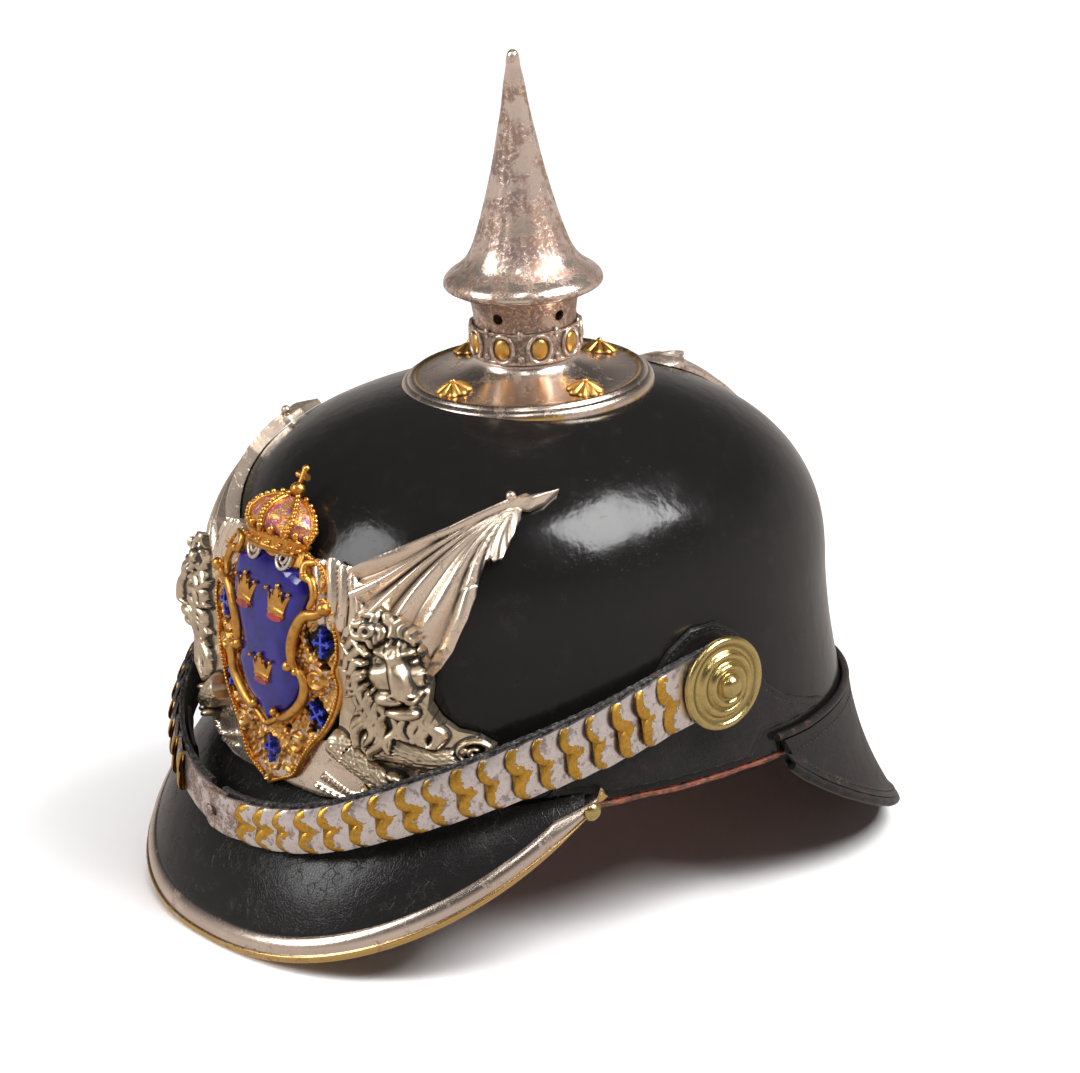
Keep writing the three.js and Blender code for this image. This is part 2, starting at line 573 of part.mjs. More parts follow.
function addScales() {
  const start = BOSS.radius * 0.55;
  const runs = [
    { side: "left", from: start, to: STRAP_LENGTH * 0.468, count: SCALES_LEFT },
    { side: "right", from: STRAP_LENGTH - start, to: STRAP_LENGTH * 0.6, count: SCALES_RIGHT },
  ];
  for (const { side, from, to, count } of runs) {
    const facing = Math.sign(to - from);
    const first = Math.abs(to - from) * 0.07;
    const pitch = (Math.abs(to - from) - first) / (count - 1);
    let joined = null;
    for (let n = 0; n < count; n++) {
      const begin = from + facing * (n ? first + (n - 1) * pitch : 0);
      const tile = scaleTile(begin, n ? pitch : first, facing, n ? SCALE.lift : SCALE.lift * 0.4);
      joined = joined ? joined.add(tile) : tile;
      const last = (n + 1) % SCALES_PER_SOLID === 0 || n === count - 1;
      if (!last) joined = joined.add(scaleRivet(begin + facing * ((n ? pitch : first) + 1)));
      if (last) {
        const number = String(Math.ceil((n + 1) / SCALES_PER_SOLID));
        piece("scales_" + side + "_" + number, geometryOf(joined), silver);
        joined = null;
      }
    }
  }
}

// The two plain end plates over the middle of the visor: a stud on the right one stands through the left one's slot.
function addEndPlates() {
  const endPlate = (from, to, seat, raise) => {
    const place = (u, v) => {
      const height = lerp(seat, raise, THREE.MathUtils.smoothstep(u, 0, 0.45));
      return onStrap(lerp(from, to, u) * STRAP_LENGTH, lerp(-1, 1, v), SCALE_WIDTH.front, height);
    };
    return solidOf(bentSheet(6, 2, SCALE.metal, place));
  };
  const at = HOOK.place * STRAP_LENGTH;
  const slot = setOnStrap(new THREE.BoxGeometry(6, HOOK.slotLength, HOOK.slotWidth), at, 3.6);
  const stud = setOnStrap(new THREE.CylinderGeometry(HOOK.stud, HOOK.stud, 3.6, 8).rotateZ(Math.PI / 2), at, 3.9);
  piece("end_plate_left", geometryOf(endPlate(0.472, 0.535, 2, 3.6).subtract(slot)), silver);
  piece("end_plate_right", geometryOf(endPlate(0.505, 0.598, 1.9, 1.9).add(stud)), silver);
}

addBosses();
addStraps();
addScales();
addEndPlates();

const helmet = new THREE.Group();
helmet.add(...meshes);
helmet.rotation.x = TILT;
const group = new THREE.Group();
group.add(helmet);
const box = new THREE.Box3().setFromObject(group, true);
helmet.position.set(0, -(box.min.y + box.max.y) / 2, -box.min.z);

export default group;
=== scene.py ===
"""Spiked leather parade helmet: the looks of its pieces, built round the packed CAD frame.

Sizes are in millimetres of the helmet's own frame: +Z up the spike, -Y to the front, +X to the wearer's left.
"""

import math

import bmesh
import bpy
import numpy as np
from mathutils import Matrix, Vector


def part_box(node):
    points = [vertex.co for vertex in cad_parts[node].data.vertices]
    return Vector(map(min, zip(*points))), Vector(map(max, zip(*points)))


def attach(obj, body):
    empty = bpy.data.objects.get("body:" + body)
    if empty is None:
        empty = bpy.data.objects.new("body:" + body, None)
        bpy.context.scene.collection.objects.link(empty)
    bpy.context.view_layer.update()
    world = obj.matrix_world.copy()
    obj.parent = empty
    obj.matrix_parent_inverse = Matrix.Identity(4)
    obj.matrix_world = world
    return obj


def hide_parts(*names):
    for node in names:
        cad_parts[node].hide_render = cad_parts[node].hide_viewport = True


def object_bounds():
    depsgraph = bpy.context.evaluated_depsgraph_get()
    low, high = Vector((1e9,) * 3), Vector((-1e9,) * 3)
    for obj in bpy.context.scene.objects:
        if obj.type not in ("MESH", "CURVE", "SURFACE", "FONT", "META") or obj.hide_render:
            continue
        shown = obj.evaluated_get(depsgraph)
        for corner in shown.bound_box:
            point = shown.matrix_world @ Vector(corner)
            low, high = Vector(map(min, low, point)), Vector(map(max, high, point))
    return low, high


bl_info = {"name": "Spiked leather parade helmet", "version": (1, 0, 0), "blender": (4, 5, 0),
    "location": "3D View > Sidebar > Helmet",
    "description":
    "Builds a lacquered leather parade helmet with a spike, an armorial plate and chin scales",
    "category": "Object",}

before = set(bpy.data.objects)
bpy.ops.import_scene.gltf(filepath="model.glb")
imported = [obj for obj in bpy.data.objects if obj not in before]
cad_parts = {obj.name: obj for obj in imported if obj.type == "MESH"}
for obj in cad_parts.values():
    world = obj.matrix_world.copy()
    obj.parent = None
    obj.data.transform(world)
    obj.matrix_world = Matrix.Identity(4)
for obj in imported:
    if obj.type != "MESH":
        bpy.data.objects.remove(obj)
CAD_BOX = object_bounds()

MM = 0.001
SIDES = ((1, "left"), (-1, "right"))
TILT = math.radians(3.2)  # the helmet leans forward on its two brims
BOSS_Y, BOSS_Z = 7.0, 38.5  # the bosses' axis in the helmet's own frame
SPIKE_AXIS = 9.25  # how far behind the skull's middle the spike stands


def helmet_origin():
    """Where the helmet frame's origin lies in the row frame, in mm, from the left boss's box."""
    low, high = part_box("boss_left")
    middle = (low + high) / 2 / MM
    y = middle.y - (BOSS_Y * math.cos(TILT) - BOSS_Z * math.sin(TILT))
    z = middle.z - (BOSS_Y * math.sin(TILT) + BOSS_Z * math.cos(TILT))
    return y, z


ORIGIN_Y, ORIGIN_Z = helmet_origin()


def node_centre(node):
    """The middle of a CAD node's box, in mm of the helmet frame."""
    low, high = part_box(node)
    x, y, z = (low + high) / 2 / MM
    cos, sin = math.cos(TILT), math.sin(TILT)
    y, z = y - ORIGIN_Y, z - ORIGIN_Z
    return np.array([x, cos * y + sin * z, cos * z - sin * y])


def to_row(points):
    """Points of the helmet frame in mm, as points of the row frame in metres."""
    x, y, z = np.asarray(points, float).reshape(-1, 3).T
    cos, sin = math.cos(TILT), math.sin(TILT)
    return np.column_stack([x, cos * y - sin * z + ORIGIN_Y, sin * y + cos * z + ORIGIN_Z]) * MM


# --- sizes that a user may change
def size(name, value, text):
    return bpy.props.FloatProperty(name=name, default=value, description=text)


def colour(name, value, text):
    return bpy.props.FloatVectorProperty(name=name, default=value, description=text, subtype="COLOR",
        size=3, min=0.0, max=1.0)


class HelmetSizes(bpy.types.PropertyGroup):
    """Sizes of the leather and metal work, in millimetres."""

    waviness: size("Waviness", 0.16, "How far the lacquered leather waves in and out, in mm")
    trim_width: size("Trim width", 7.5, "Width of the visor's metal trim, in mm")
    stitch_spacing: size("Stitch spacing", 2.3, "Distance from stitch to stitch, in mm")
    stitch_length: size("Stitch length", 0.75, "Half the length of a stitch, in mm")
    scale_lobe: size("Scale lobe", 2.6, "How far the two lobes of a scale stand out, in mm")


class HelmetColours(bpy.types.PropertyGroup):
    """Colours of the finishes."""

    lacquer: colour("Lacquer", (0.0075, 0.0068, 0.0066), "Black lacquered leather")
    worn_leather: colour("Worn leather", (0.010, 0.009, 0.009), "Leather of brims, patches and straps")
    lining_leather: colour("Brown leather", (0.30, 0.075, 0.03), "Red-brown leather inside the edge")
    silver: colour("Silver", (0.90, 0.75, 0.64), "Silvered metal")
    tarnish: colour("Tarnish", (0.29, 0.175, 0.125), "Brown tarnish on the silvered metal")
    gilt: colour("Gilt", (0.85, 0.46, 0.11), "Fire-gilt metal")
    brass: colour("Brass", (0.66, 0.50, 0.20), "Polished brass")
    enamel: colour("Enamel", (0.014, 0.009, 0.16), "Blue enamel of the shield")
    ground: colour("Ground", (0.86, 0.845, 0.85), "The floor that the helmet stands on")


class StageSettings(bpy.types.PropertyGroup):
    """Camera and light."""

    azimuth: bpy.props.FloatProperty(name="Azimuth", default=math.radians(51.73), subtype="ANGLE",
        description="Direction of the camera, from the front to the left")
    elevation: bpy.props.FloatProperty(name="Elevation", default=math.radians(18.0), subtype="ANGLE",
        description="Height of the camera above the horizon")
    distance: bpy.props.FloatProperty(name="Distance", default=1.442, unit="LENGTH",
        description="Distance of the camera from what it looks at")
    focal_length: bpy.props.FloatProperty(name="Focal length", default=140.86, description="Lens, in mm")
    aim: bpy.props.FloatVectorProperty(name="Aim", default=(0.00225, 0.00404, -0.0289), subtype="XYZ",
        unit="LENGTH", description="What the camera looks at, from the box's middle")


def settings(group):
    return getattr(bpy.context.scene, "helmet_" + group)


# --- materials
class Socket:
    """An output of a material's node tree. Arithmetic on it adds Math nodes."""

    def __init__(self, finish, output):
        self.finish = finish
        self.output = output

    def math(self, operation, *values, clamp=False):
        inputs = dict(enumerate(values))
        return self.finish.node("ShaderNodeMath", {"operation": operation, "use_clamp": clamp}, inputs)

    def __add__(self, other):
        return self.math("ADD", self, other)

    def __sub__(self, other):
        return self.math("SUBTRACT", self, other)

    def __rsub__(self, other):
        return self.math("SUBTRACT", other, self)

    def __mul__(self, other):
        return self.math("MULTIPLY", self, other)

    __radd__ = __add__
    __rmul__ = __mul__

    def step(self, low, high):
        """A smooth step from 0 at low to 1 at high."""
        return self.finish.node("ShaderNodeMapRange", {"interpolation_type": "SMOOTHSTEP"},
            {"Value": self, "From Min": low, "From Max": high})

    def clamped(self):
        return self.math("ADD", self, 0.0, clamp=True)


class Finish:
    """A procedural material, or the sky: nodes are added by one method, and surface() feeds its shader."""

    def __init__(self, name, sky=False):
        self.material = (bpy.data.worlds if sky else bpy.data.materials).new(name)
        self.material.use_nodes = True
        self.tree = self.material.node_tree
        self.shader = self.tree.nodes["Background" if sky else "Principled BSDF"]

    def node(self, kind, options=None, inputs=None, output=0):
        node = self.tree.nodes.new(kind)
        for option, value in (options or {}).items():
            if option == "stops":
                self.set_stops(node.color_ramp, value)
            else:
                setattr(node, option, value)
        for key, value in (inputs or {}).items():
            self.link(node.inputs[key], value)
        return Socket(self, node.outputs[output])

    def link(self, socket, value):
        if isinstance(value, Socket):
            self.tree.links.new(value.output, socket)
        elif hasattr(socket.default_value, "__len__"):
            socket.default_value = (*value, 1.0)[: len(socket.default_value)]
        else:
            socket.default_value = value

    @staticmethod
    def set_stops(ramp, stops):
        while len(ramp.elements) < len(stops):
            ramp.elements.new(1.0)
        for element, (place, shade) in zip(ramp.elements, stops):
            element.position = place
            element.color = (*shade, 1.0)

    def place(self, scale=(1.0, 1.0, 1.0)):
        spot = self.node("ShaderNodeTexCoord", output=3)
        return self.node("ShaderNodeMapping", {"vector_type": "POINT"}, {"Vector": spot, "Scale": scale})

    def noise(self, size_mm, detail=3.0, rough=0.55, stretch=(1.0, 1.0, 1.0), distortion=0.0):
        """Noise whose features are about size_mm across."""
        return self.node("ShaderNodeTexNoise", {"noise_dimensions": "3D"},
            {"Vector": self.place(stretch), "Scale": 1.0 / (size_mm * MM), "Detail": detail,
            "Roughness": rough, "Distortion": distortion})

    def cells(self, size_mm, feature="DISTANCE_TO_EDGE"):
        return self.node("ShaderNodeTexVoronoi", {"feature": feature}, {"Vector": self.place(),
            "Scale": 1.0 / (size_mm * MM)})

    def value(self, name):
        """A value stored on the piece's points."""
        return self.node("ShaderNodeAttribute", {"attribute_name": name}, output=2)

    def mix(self, factor, first, second):
        return self.node("ShaderNodeMix", {"data_type": "RGBA"}, {0: factor, 6: first, 7: second}, output=2)

    def bump(self, height, depth_mm, strength=1.0):
        return self.node("ShaderNodeBump", {}, {"Strength": strength, "Distance": depth_mm * MM,
            "Height": height})

    def surface(self, **inputs):
        for key, value in inputs.items():
            self.link(self.shader.inputs[key.replace("_", " ")], value)
        return self.material


def lacquer():
    """Thick black lacquer over leather: a deep gloss with soft waves, rubbed patches and hair scratches."""
    f = Finish("black_lacquer")
    broad = f.noise(26, 2)
    fine = f.noise(1.3, 3)
    scratch = f.noise(2.6, 2, 0.7, stretch=(1.0, 1.0, 9.0)).step(0.66, 0.74)
    rubbed = f.noise(9, 4, 0.65).step(0.52, 0.78)
    rough = 0.13 + broad.step(0.35, 0.75) * 0.10 + rubbed * 0.10 + scratch * 0.12
    shade = f.mix(rubbed * 0.45, settings("colours").lacquer, (0.015, 0.0125, 0.0115))
    height = broad * 0.5 + f.noise(5.5, 2) * 0.34 + fine * 0.045 + scratch * -0.03
    return f.surface(Base_Color=shade, Roughness=rough, Normal=f.bump(height, 0.42),
        Specular_IOR_Level=0.26, Coat_Weight=0.06, Coat_Roughness=0.07)


def worn_leather(name="worn_leather", gloss=0.30, grain=1.0, edge=0.35):
    """Lacquered leather with its grain showing, fine cracks, and brown where it is rubbed through."""
    f = Finish(name)
    grain_cells = f.cells(1.1).step(0.0, 0.16)
    cracks = 1 - f.cells(3.4).step(0.0, 0.055)
    patchy = f.noise(6, 4, 0.62)
    rubbed = (patchy.step(0.5, 0.72) * f.noise(0.9, 3).step(0.42, 0.62)).clamped()
    shade = f.mix(rubbed * edge, settings("colours").worn_leather, (0.085, 0.045, 0.03))
    rough = gloss + rubbed * 0.22 + patchy * 0.12
    height = grain_cells * 0.34 * grain + cracks * -0.4 * patchy.step(0.45, 0.65) + f.noise(7, 2) * 0.9
    return f.surface(Base_Color=shade, Roughness=rough, Normal=f.bump(height, 0.16),
        Specular_IOR_Level=0.27)


def brown_leather():
    """The red-brown flesh side of the leather, scuffed paler along its edge."""
    f = Finish("brown_leather")
    scuffs = f.noise(4, 5, 0.7, distortion=0.6)
    shade = f.mix(scuffs.step(0.35, 0.65), settings("colours").lining_leather, (0.055, 0.018, 0.013))
    shade = f.mix(f.noise(2.2, 4, 0.7).step(0.6, 0.7), shade, (0.42, 0.22, 0.14))
    return f.surface(Base_Color=shade, Roughness=0.55, Normal=f.bump(f.noise(0.8, 4), 0.25))


def thread():
    """Waxed black thread."""
    f = Finish("waxed_thread")
    twist = f.node("ShaderNodeTexWave", {"bands_direction": "DIAGONAL"},
        {"Vector": f.place(), "Scale": 1200.0, "Distortion": 0.5}, output=1)
    shade = f.mix(twist * 0.4, (0.012, 0.011, 0.011), (0.045, 0.04, 0.037))
    return f.surface(Base_Color=shade, Roughness=0.5, Normal=f.bump(twist, 0.05))


def silver(name="tarnished_silver", worn=0.5, size_mm=7.0, rough=0.2, tint=None):
    """Silvered metal with brown and violet tarnish in patches, small pits, and black in its hollows."""
    f = Finish(name)
    colours = settings("colours")
    cloud = f.noise(size_mm, 5, 0.68, distortion=0.35)
    speck = f.noise(size_mm * 0.16, 4, 0.7)
    low = 0.60 - 0.22 * worn
    tarnish = (cloud.step(low, low + 0.12) * speck.step(0.34, 0.52)).clamped()
    violet = f.noise(size_mm * 1.7, 3).step(0.42, 0.66)
    hollow = f.value("hollow")
    base = f.mix(f.noise(18, 3).step(0.3, 0.7) * 0.45, tint or colours.silver, (0.76, 0.58, 0.45))
    stain = f.mix(violet, colours.tarnish, (0.23, 0.155, 0.155))
    shade = f.mix(tarnish * 0.92, base, stain)
    # Painted shade: the hollow value mixes the colour towards near black, and lowers the metal, in the low
    # places.
    shade = f.mix(hollow.step(0.12, 0.75), shade, (0.022, 0.019, 0.018))
    pits = f.noise(0.7, 3, 0.6)
    roughness = rough + tarnish * 0.24 + pits * 0.10 + hollow * 0.25
    metal = 0.92 - hollow.step(0.45, 0.9) * 0.65 - tarnish * 0.14
    height = pits * 0.35 + tarnish * 0.6 + f.noise(3.5, 2) * 0.9
    return f.surface(Base_Color=shade, Roughness=roughness, Metallic=metal, Normal=f.bump(height, 0.07))


def gilt(name="fire_gilt", shade_by=1.0, grain_mm=0.6):
    """Fire-gilt metal: orange-yellow, paler where it is rubbed, brown-black in its hollows."""
    f = Finish(name)
    colours = settings("colours")
    rubbed = f.noise(2.5, 4, 0.6).step(0.5, 0.75)
    hollow = f.value("hollow")
    base = f.mix(rubbed * 0.7, tuple(c * shade_by for c in colours.gilt), (0.90, 0.68, 0.34))
    base = f.mix(f.noise(1.6, 4, 0.7).step(0.58, 0.68) * 0.45, base, (0.36, 0.15, 0.045))
    # Painted shade: brown-black where the hollow value is high.
    shade = f.mix(hollow.step(0.15, 0.8), base, (0.05, 0.026, 0.014))
    grain = f.noise(grain_mm, 3)
    rough = 0.24 + grain * 0.16 + hollow * 0.2
    return f.surface(Base_Color=shade, Roughness=rough, Metallic=1 - hollow.step(0.5, 1.0) * 0.5,
        Normal=f.bump(grain, 0.07))


def strap_edge():
    """The cut edge of old lacquered leather, scuffed to grey specks and lines."""
    f = Finish("scuffed_strap")
    scuff = f.noise(1.3, 5, 0.72, distortion=0.5).step(0.48, 0.60)
    shade = f.mix(scuff * 0.8, (0.012, 0.011, 0.011), (0.15, 0.14, 0.135))
    shade = f.mix(f.noise(5, 3).step(0.62, 0.72) * 0.6, shade, (0.16, 0.07, 0.045))
    return f.surface(Base_Color=shade, Roughness=0.5 + scuff * 0.2, Normal=f.bump(scuff + f.noise(0.9, 3),
        0.22))


def brass():
    """Pale polished brass with greenish-brown tarnish that stays in the turned grooves."""
    f = Finish("pale_brass")
    hollow = f.value("hollow")
    cloud = f.noise(3.2, 4, 0.65).step(0.45, 0.7)
    shade = f.mix(cloud * 0.6, settings("colours").brass, (0.50, 0.40, 0.17))
    # Painted shade: dark in the turned grooves, where the hollow value is high.
    shade = f.mix(hollow.step(0.1, 0.9), shade, (0.10, 0.085, 0.04))
    rough = 0.2 + cloud * 0.14 + hollow * 0.15
    return f.surface(Base_Color=shade, Roughness=rough, Metallic=0.97, Normal=f.bump(f.noise(0.5, 3), 0.03))


def enamel(name, tint, deep, rough=0.07, coat=1.0):
    """Glassy enamel over metal, a little uneven in depth."""
    f = Finish(name)
    shade = f.mix(f.noise(6, 3).step(0.35, 0.7), tint, deep)
    return f.surface(Base_Color=shade, Roughness=rough, Normal=f.bump(f.noise(4.5, 2), 0.035),
        Coat_Weight=coat, Coat_Roughness=0.03)


def two_metal(name):
    """Silvered trim whose gold shows at its lower edge and where the silver has worn off."""
    f = Finish(name)
    colours = settings("colours")
    cloud = f.noise(9, 4, 0.6)
    gold = (f.value("gold") + (cloud - 0.5) * 0.9).step(0.42, 0.62)
    brown = (f.noise(6, 5, 0.7, distortion=0.4).step(0.52, 0.66) * f.noise(1.2, 3).step(0.38,
        0.6)).clamped()
    shade = f.mix(f.noise(20, 3).step(0.35, 0.65) * 0.5, colours.silver, (0.70, 0.56, 0.47))
    shade = f.mix(gold * 0.9, shade, (0.80, 0.50, 0.15))
    shade = f.mix(brown * 0.8, shade, colours.tarnish)
    # Painted shade: dark where the hollow value is high.
    shade = f.mix(f.value("hollow").step(0.15, 0.9), shade, (0.03, 0.024, 0.02))
    rough = 0.2 + brown * 0.25 + f.noise(0.9, 3) * 0.1
    return f.surface(Base_Color=shade, Roughness=rough, Metallic=1 - brown * 0.2,
        Normal=f.bump(f.noise(0.8, 3) * 0.3 + f.noise(4, 2) * 0.7, 0.06))


# --- meshes
class Shape:
    """Points in mm of the helmet frame, with faces, the finish of each face and values on the points."""

    def __init__(self):
        self.points = []
        self.faces = []
        self.finishes = []
        self.values = []
        self.count = 0

    def add(self, points, faces, finish=0, **values):
        points = np.asarray(points, float).reshape(-1, 3)
        self.points.append(points)
        self.faces.append(np.asarray(faces) + self.count)
        self.finishes.append(np.full(len(faces), finish))
        self.values.append({name: np.broadcast_to(np.ravel(v), len(points)) for name, v in values.items()})
        self.count += len(points)
        return self

    def all_faces(self):
        return [face for block in self.faces for face in block.tolist()]

    def value(self, name):
        rows = zip(self.points, self.values)
        return np.concatenate([v.get(name, np.zeros(len(p))) for p, v in rows])


def new_object(name, data):
    item = bpy.data.objects.new(name, data)
    bpy.context.scene.collection.objects.link(item)
    return item


def ride(item, nodes):
    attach(item, "root")
    if nodes:
        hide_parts(*nodes)
    return item


def clean(mesh):
    """Joins doubled points, drops flat faces and turns all faces outwards."""
    work = bmesh.new()
    work.from_mesh(mesh)
    bmesh.ops.remove_doubles(work, verts=work.verts, dist=2e-6)
    bmesh.ops.dissolve_degenerate(work, edges=work.edges, dist=1e-7)
    bmesh.ops.recalc_face_normals(work, faces=work.faces)
    work.to_mesh(mesh)
    work.free()


def shape_mesh(name, shape, points):
    """A mesh of the shape's faces and stored values on given points."""
    mesh = bpy.data.meshes.new(name)
    mesh.from_pydata(points.tolist(), [], shape.all_faces())
    mesh.polygons.foreach_set("material_index", np.concatenate(shape.finishes).astype(np.int32))
    for value in sorted(set().union(*shape.values)):
        layer = mesh.attributes.new(value, "FLOAT", "POINT")
        layer.data.foreach_set("value", shape.value(value).astype(np.float32))
    mesh.update()
    return mesh


def piece(name, shape, finishes, nodes=(), sharp=38.0):
    mesh = shape_mesh(name, shape, to_row(np.vstack(shape.points)))
    for finish in finishes:
        mesh.materials.append(finish)
    clean(mesh)
    mesh.shade_smooth()
    mesh.set_sharp_from_angle(angle=math.radians(sharp))
    item = new_object(name, mesh)
    return ride(item, nodes)


def grid_faces(rows, columns, around=False, loop=False):
    """Quads of a grid of points; around closes each row on itself, and loop closes the columns."""
    i, j = np.meshgrid(np.arange(rows if loop else rows - 1), np.arange(columns if around else columns - 1),
        indexing="ij")
    down, right = (i + 1) % rows, (j + 1) % columns
    return np.stack([i * columns + j, i * columns + right, down * columns + right, down * columns + j],
        -1).reshape(-1, 4)


def add_sweep(shape, points, finish=0, **values):
    """Adds a solid from sections (rows, loop, 3), with its ends closed."""
    rows, loop = points.shape[:2]
    shape.add(points, grid_faces(rows, loop, around=True), finish, **values)
    fan = np.array([[0, k, k + 1] for k in range(1, loop - 1)])
    for row in (0, rows - 1):
        picked = {name: v if np.ndim(v) == 0 else np.reshape(v, (rows, loop))[row] for name,
            v in values.items()}
        shape.add(points[row], fan, finish, **picked)


def smooth_path(points, count):
    """A Catmull-Rom curve through points, as count points at even distances."""
    points = np.asarray(points, float)
    padded = np.vstack([2 * points[0] - points[1], points, 2 * points[-1] - points[-2]])
    samples = []
    for a, b, c, d in zip(padded, padded[1:], padded[2:], padded[3:]):
        t = np.linspace(0, 1, 24, endpoint=False)[:, None]
        samples.append(0.5 * (2 * b + (c - a) * t + (2 * a - 5 * b + 4 * c - d) * t**2 +
            (3 * b - a - 3 * c + d) * t**3))
    line = np.vstack([*samples, points[-1:]])
    return even_path(line, count)


def even_path(line, count):
    along = np.concatenate([[0], np.cumsum(np.linalg.norm(np.diff(line, axis=0), axis=1))])
    places = np.linspace(0, along[-1], count)
    return np.column_stack([np.interp(places, along, line[:, k]) for k in range(line.shape[1])])


def directions(line):
    along = np.gradient(line, axis=0)
    return along / np.linalg.norm(along, axis=1, keepdims=True)


def circle(count):
    return np.linspace(0, 2 * np.pi, count, endpoint=False)


def unit(vectors):
    return vectors / np.maximum(np.linalg.norm(vectors, axis=-1, keepdims=True), 1e-9)


def rod(line, radii, up, sides=12, flat=1.0):
    """Sections of a round bar along a line; up is one vector or one a point, flat squeezes it along up."""
    along = directions(line)
    side = unit(np.cross(along, np.broadcast_to(up, line.shape)))
    rise = np.cross(side, along)
    turn = circle(sides)
    radii = np.broadcast_to(radii, len(line))[:, None, None]
    ring = side[:, None] * np.cos(turn)[None, :, None] + rise[:, None] * np.sin(turn)[None, :, None] * flat
    return line[:, None] + ring * radii


def ball(shape, centre, radii, finish=0, columns=14, rows=8, turn=None, **values):
    a = circle(columns)
    b = np.linspace(-np.pi / 2, np.pi / 2, rows + 1)
    bb, aa = np.meshgrid(b, a, indexing="ij")
    points = np.stack([np.cos(bb) * np.cos(aa), np.cos(bb) * np.sin(aa), np.sin(bb)],
        -1) * np.asarray(radii)
    if turn is not None:
        points = points @ np.asarray(turn).T
    shape.add(points.reshape(-1, 3) + np.asarray(centre), grid_faces(rows + 1, columns, around=True),
        finish, **values)


def turned(profile, segments=96, axis_y=SPIKE_AXIS, wobble=None):
    """Points and faces of a piece turned about the spike's axis, from a profile of (radius, height)."""
    profile = np.asarray(profile, float)
    angle = circle(segments)
    radius, height = profile[:, :1], profile[:, 1:]
    if wobble is not None:
        radius = radius * wobble(angle[None], height)
    points = np.stack([radius * np.cos(angle), radius * np.sin(angle) + axis_y,
        np.broadcast_to(height, (len(profile), segments))], -1)
    return points


def add_turned(shape, profile, finish=0, segments=96, closed=False, hollow=None, **options):
    points = turned(profile, segments, **options)
    values = {} if hollow is None else {"hollow": np.repeat(np.asarray(hollow, float), segments)}
    shape.add(points.reshape(-1, 3), grid_faces(len(profile), segments, around=True, loop=closed),
        finish, **values)


def fillet(profile, radius=0.35, steps=3):
    """Rounds the corners of a profile."""
    profile = [np.asarray(p, float) for p in profile]
    made = [profile[0]]
    for before, corner, after in zip(profile, profile[1:], profile[2:]):
        reach = min(radius, np.linalg.norm(before - corner) * 0.45, np.linalg.norm(after - corner) * 0.45)
        start = corner + (before - corner) / max(np.linalg.norm(before - corner), 1e-9) * reach
        end = corner + (after - corner) / max(np.linalg.norm(after - corner), 1e-9) * reach
        for t in np.linspace(0, 1, steps):
            made.append((1 - t) ** 2 * start + 2 * t * (1 - t) * corner + t**2 * end)
    made.append(profile[-1])
    return np.array(made)


# --- the skull's surface
SKULL = {"side": 92.0, "front": 99.0, "back": 109.0}
SKULL_TOP, SPRINGING, SKULL_WALL, SQUARENESS = 122.5, 52.0, 2.4, 2.25
PROFILES = {"side": (2.85, 2.1, 2.0), "front": (2.65, 2.3, 2.5), "back": (2.25, 2.4, 7.0)}
FLARE_HEIGHT = 48.0
GAP = 0.35  # what the CAD leaves between pieces that touch


def bell(value, width):
    return np.exp(-((value / width) ** 2))


def round_bar(away, width):
    """The height of a round bar, from 1 on its middle line to 0 at half its width."""
    return np.sqrt(np.clip(1 - (away / width) ** 2, 0, 1))


def half_axis(side, z, offset=0.0):
    power, root, flare = PROFILES[side]
    height = np.clip((z - SPRINGING) / (SKULL_TOP + offset - SPRINGING), 0, 1)
    reach = (SKULL[side] + offset) * (1 - height**power) ** (1 / root)
    return reach + flare * np.clip((FLARE_HEIGHT - z) / FLARE_HEIGHT, 0, 2) ** 1.6


def signed_power(value, power):
    return np.sign(value) * np.abs(value) ** power


def skull_point(angle, z, offset=0.0):
    """The point at a plan angle, 0 at the wearer's left and a quarter turn at the back, and a height."""
    angle, z, offset = np.broadcast_arrays(angle, z, offset)
    bend = 2 / SQUARENESS
    reach = np.where(np.sin(angle) > 0, half_axis("back", z, offset), half_axis("front", z, offset))
    x = half_axis("side", z, offset) * signed_power(np.cos(angle), bend)
    return np.stack([x, reach * signed_power(np.sin(angle), bend), z + 0.0 * x], -1)


def skull_front(x, z, offset=0.0, sign=-1):
    """The skull's point straight behind a plan point of the front (or of the back, with sign 1)."""
    x, z, offset = np.broadcast_arrays(x, z, offset)
    share = np.clip((np.abs(x) / np.maximum(half_axis("side", z, offset), 1e-6)) ** SQUARENESS, 0, 0.999)
    reach = half_axis("front" if sign < 0 else "back", z, offset)
    return np.stack([x + 0.0, sign * reach * (1 - share) ** (1 / SQUARENESS), z + 0.0], -1)


def skull_side(y, z, offset=0.0, sign=1):
    """The skull's point beside a plan point of its side."""
    y, z, offset = np.broadcast_arrays(y, z, offset)
    reach = np.where(y > 0, half_axis("back", z, offset), half_axis("front", z, offset))
    share = np.clip((np.abs(y) / reach) ** SQUARENESS, 0, 0.999)
    return np.stack([sign * half_axis("side", z, offset) * (1 - share) ** (1 / SQUARENESS), y + 0.0,
        z + 0.0], -1)


def raised(surface, a, b, height):
    """Points of surface(a, b), raised off it by height square to it."""
    step = 0.05
    along = surface(a + step, b) - surface(a - step, b)
    across = surface(a, b + step) - surface(a, b - step)
    normal = unit(np.cross(along, across))
    base = surface(a, b)
    outward = np.sum(normal * (base - [0, 0, 40.0]), axis=-1, keepdims=True)
    return base + normal * np.sign(outward) * np.asarray(height)[..., None]


def lower_edge(angle):
    return 5.0 - 0.08 * np.clip(SKULL["back"] * np.sin(angle), -22.0, 45.0)


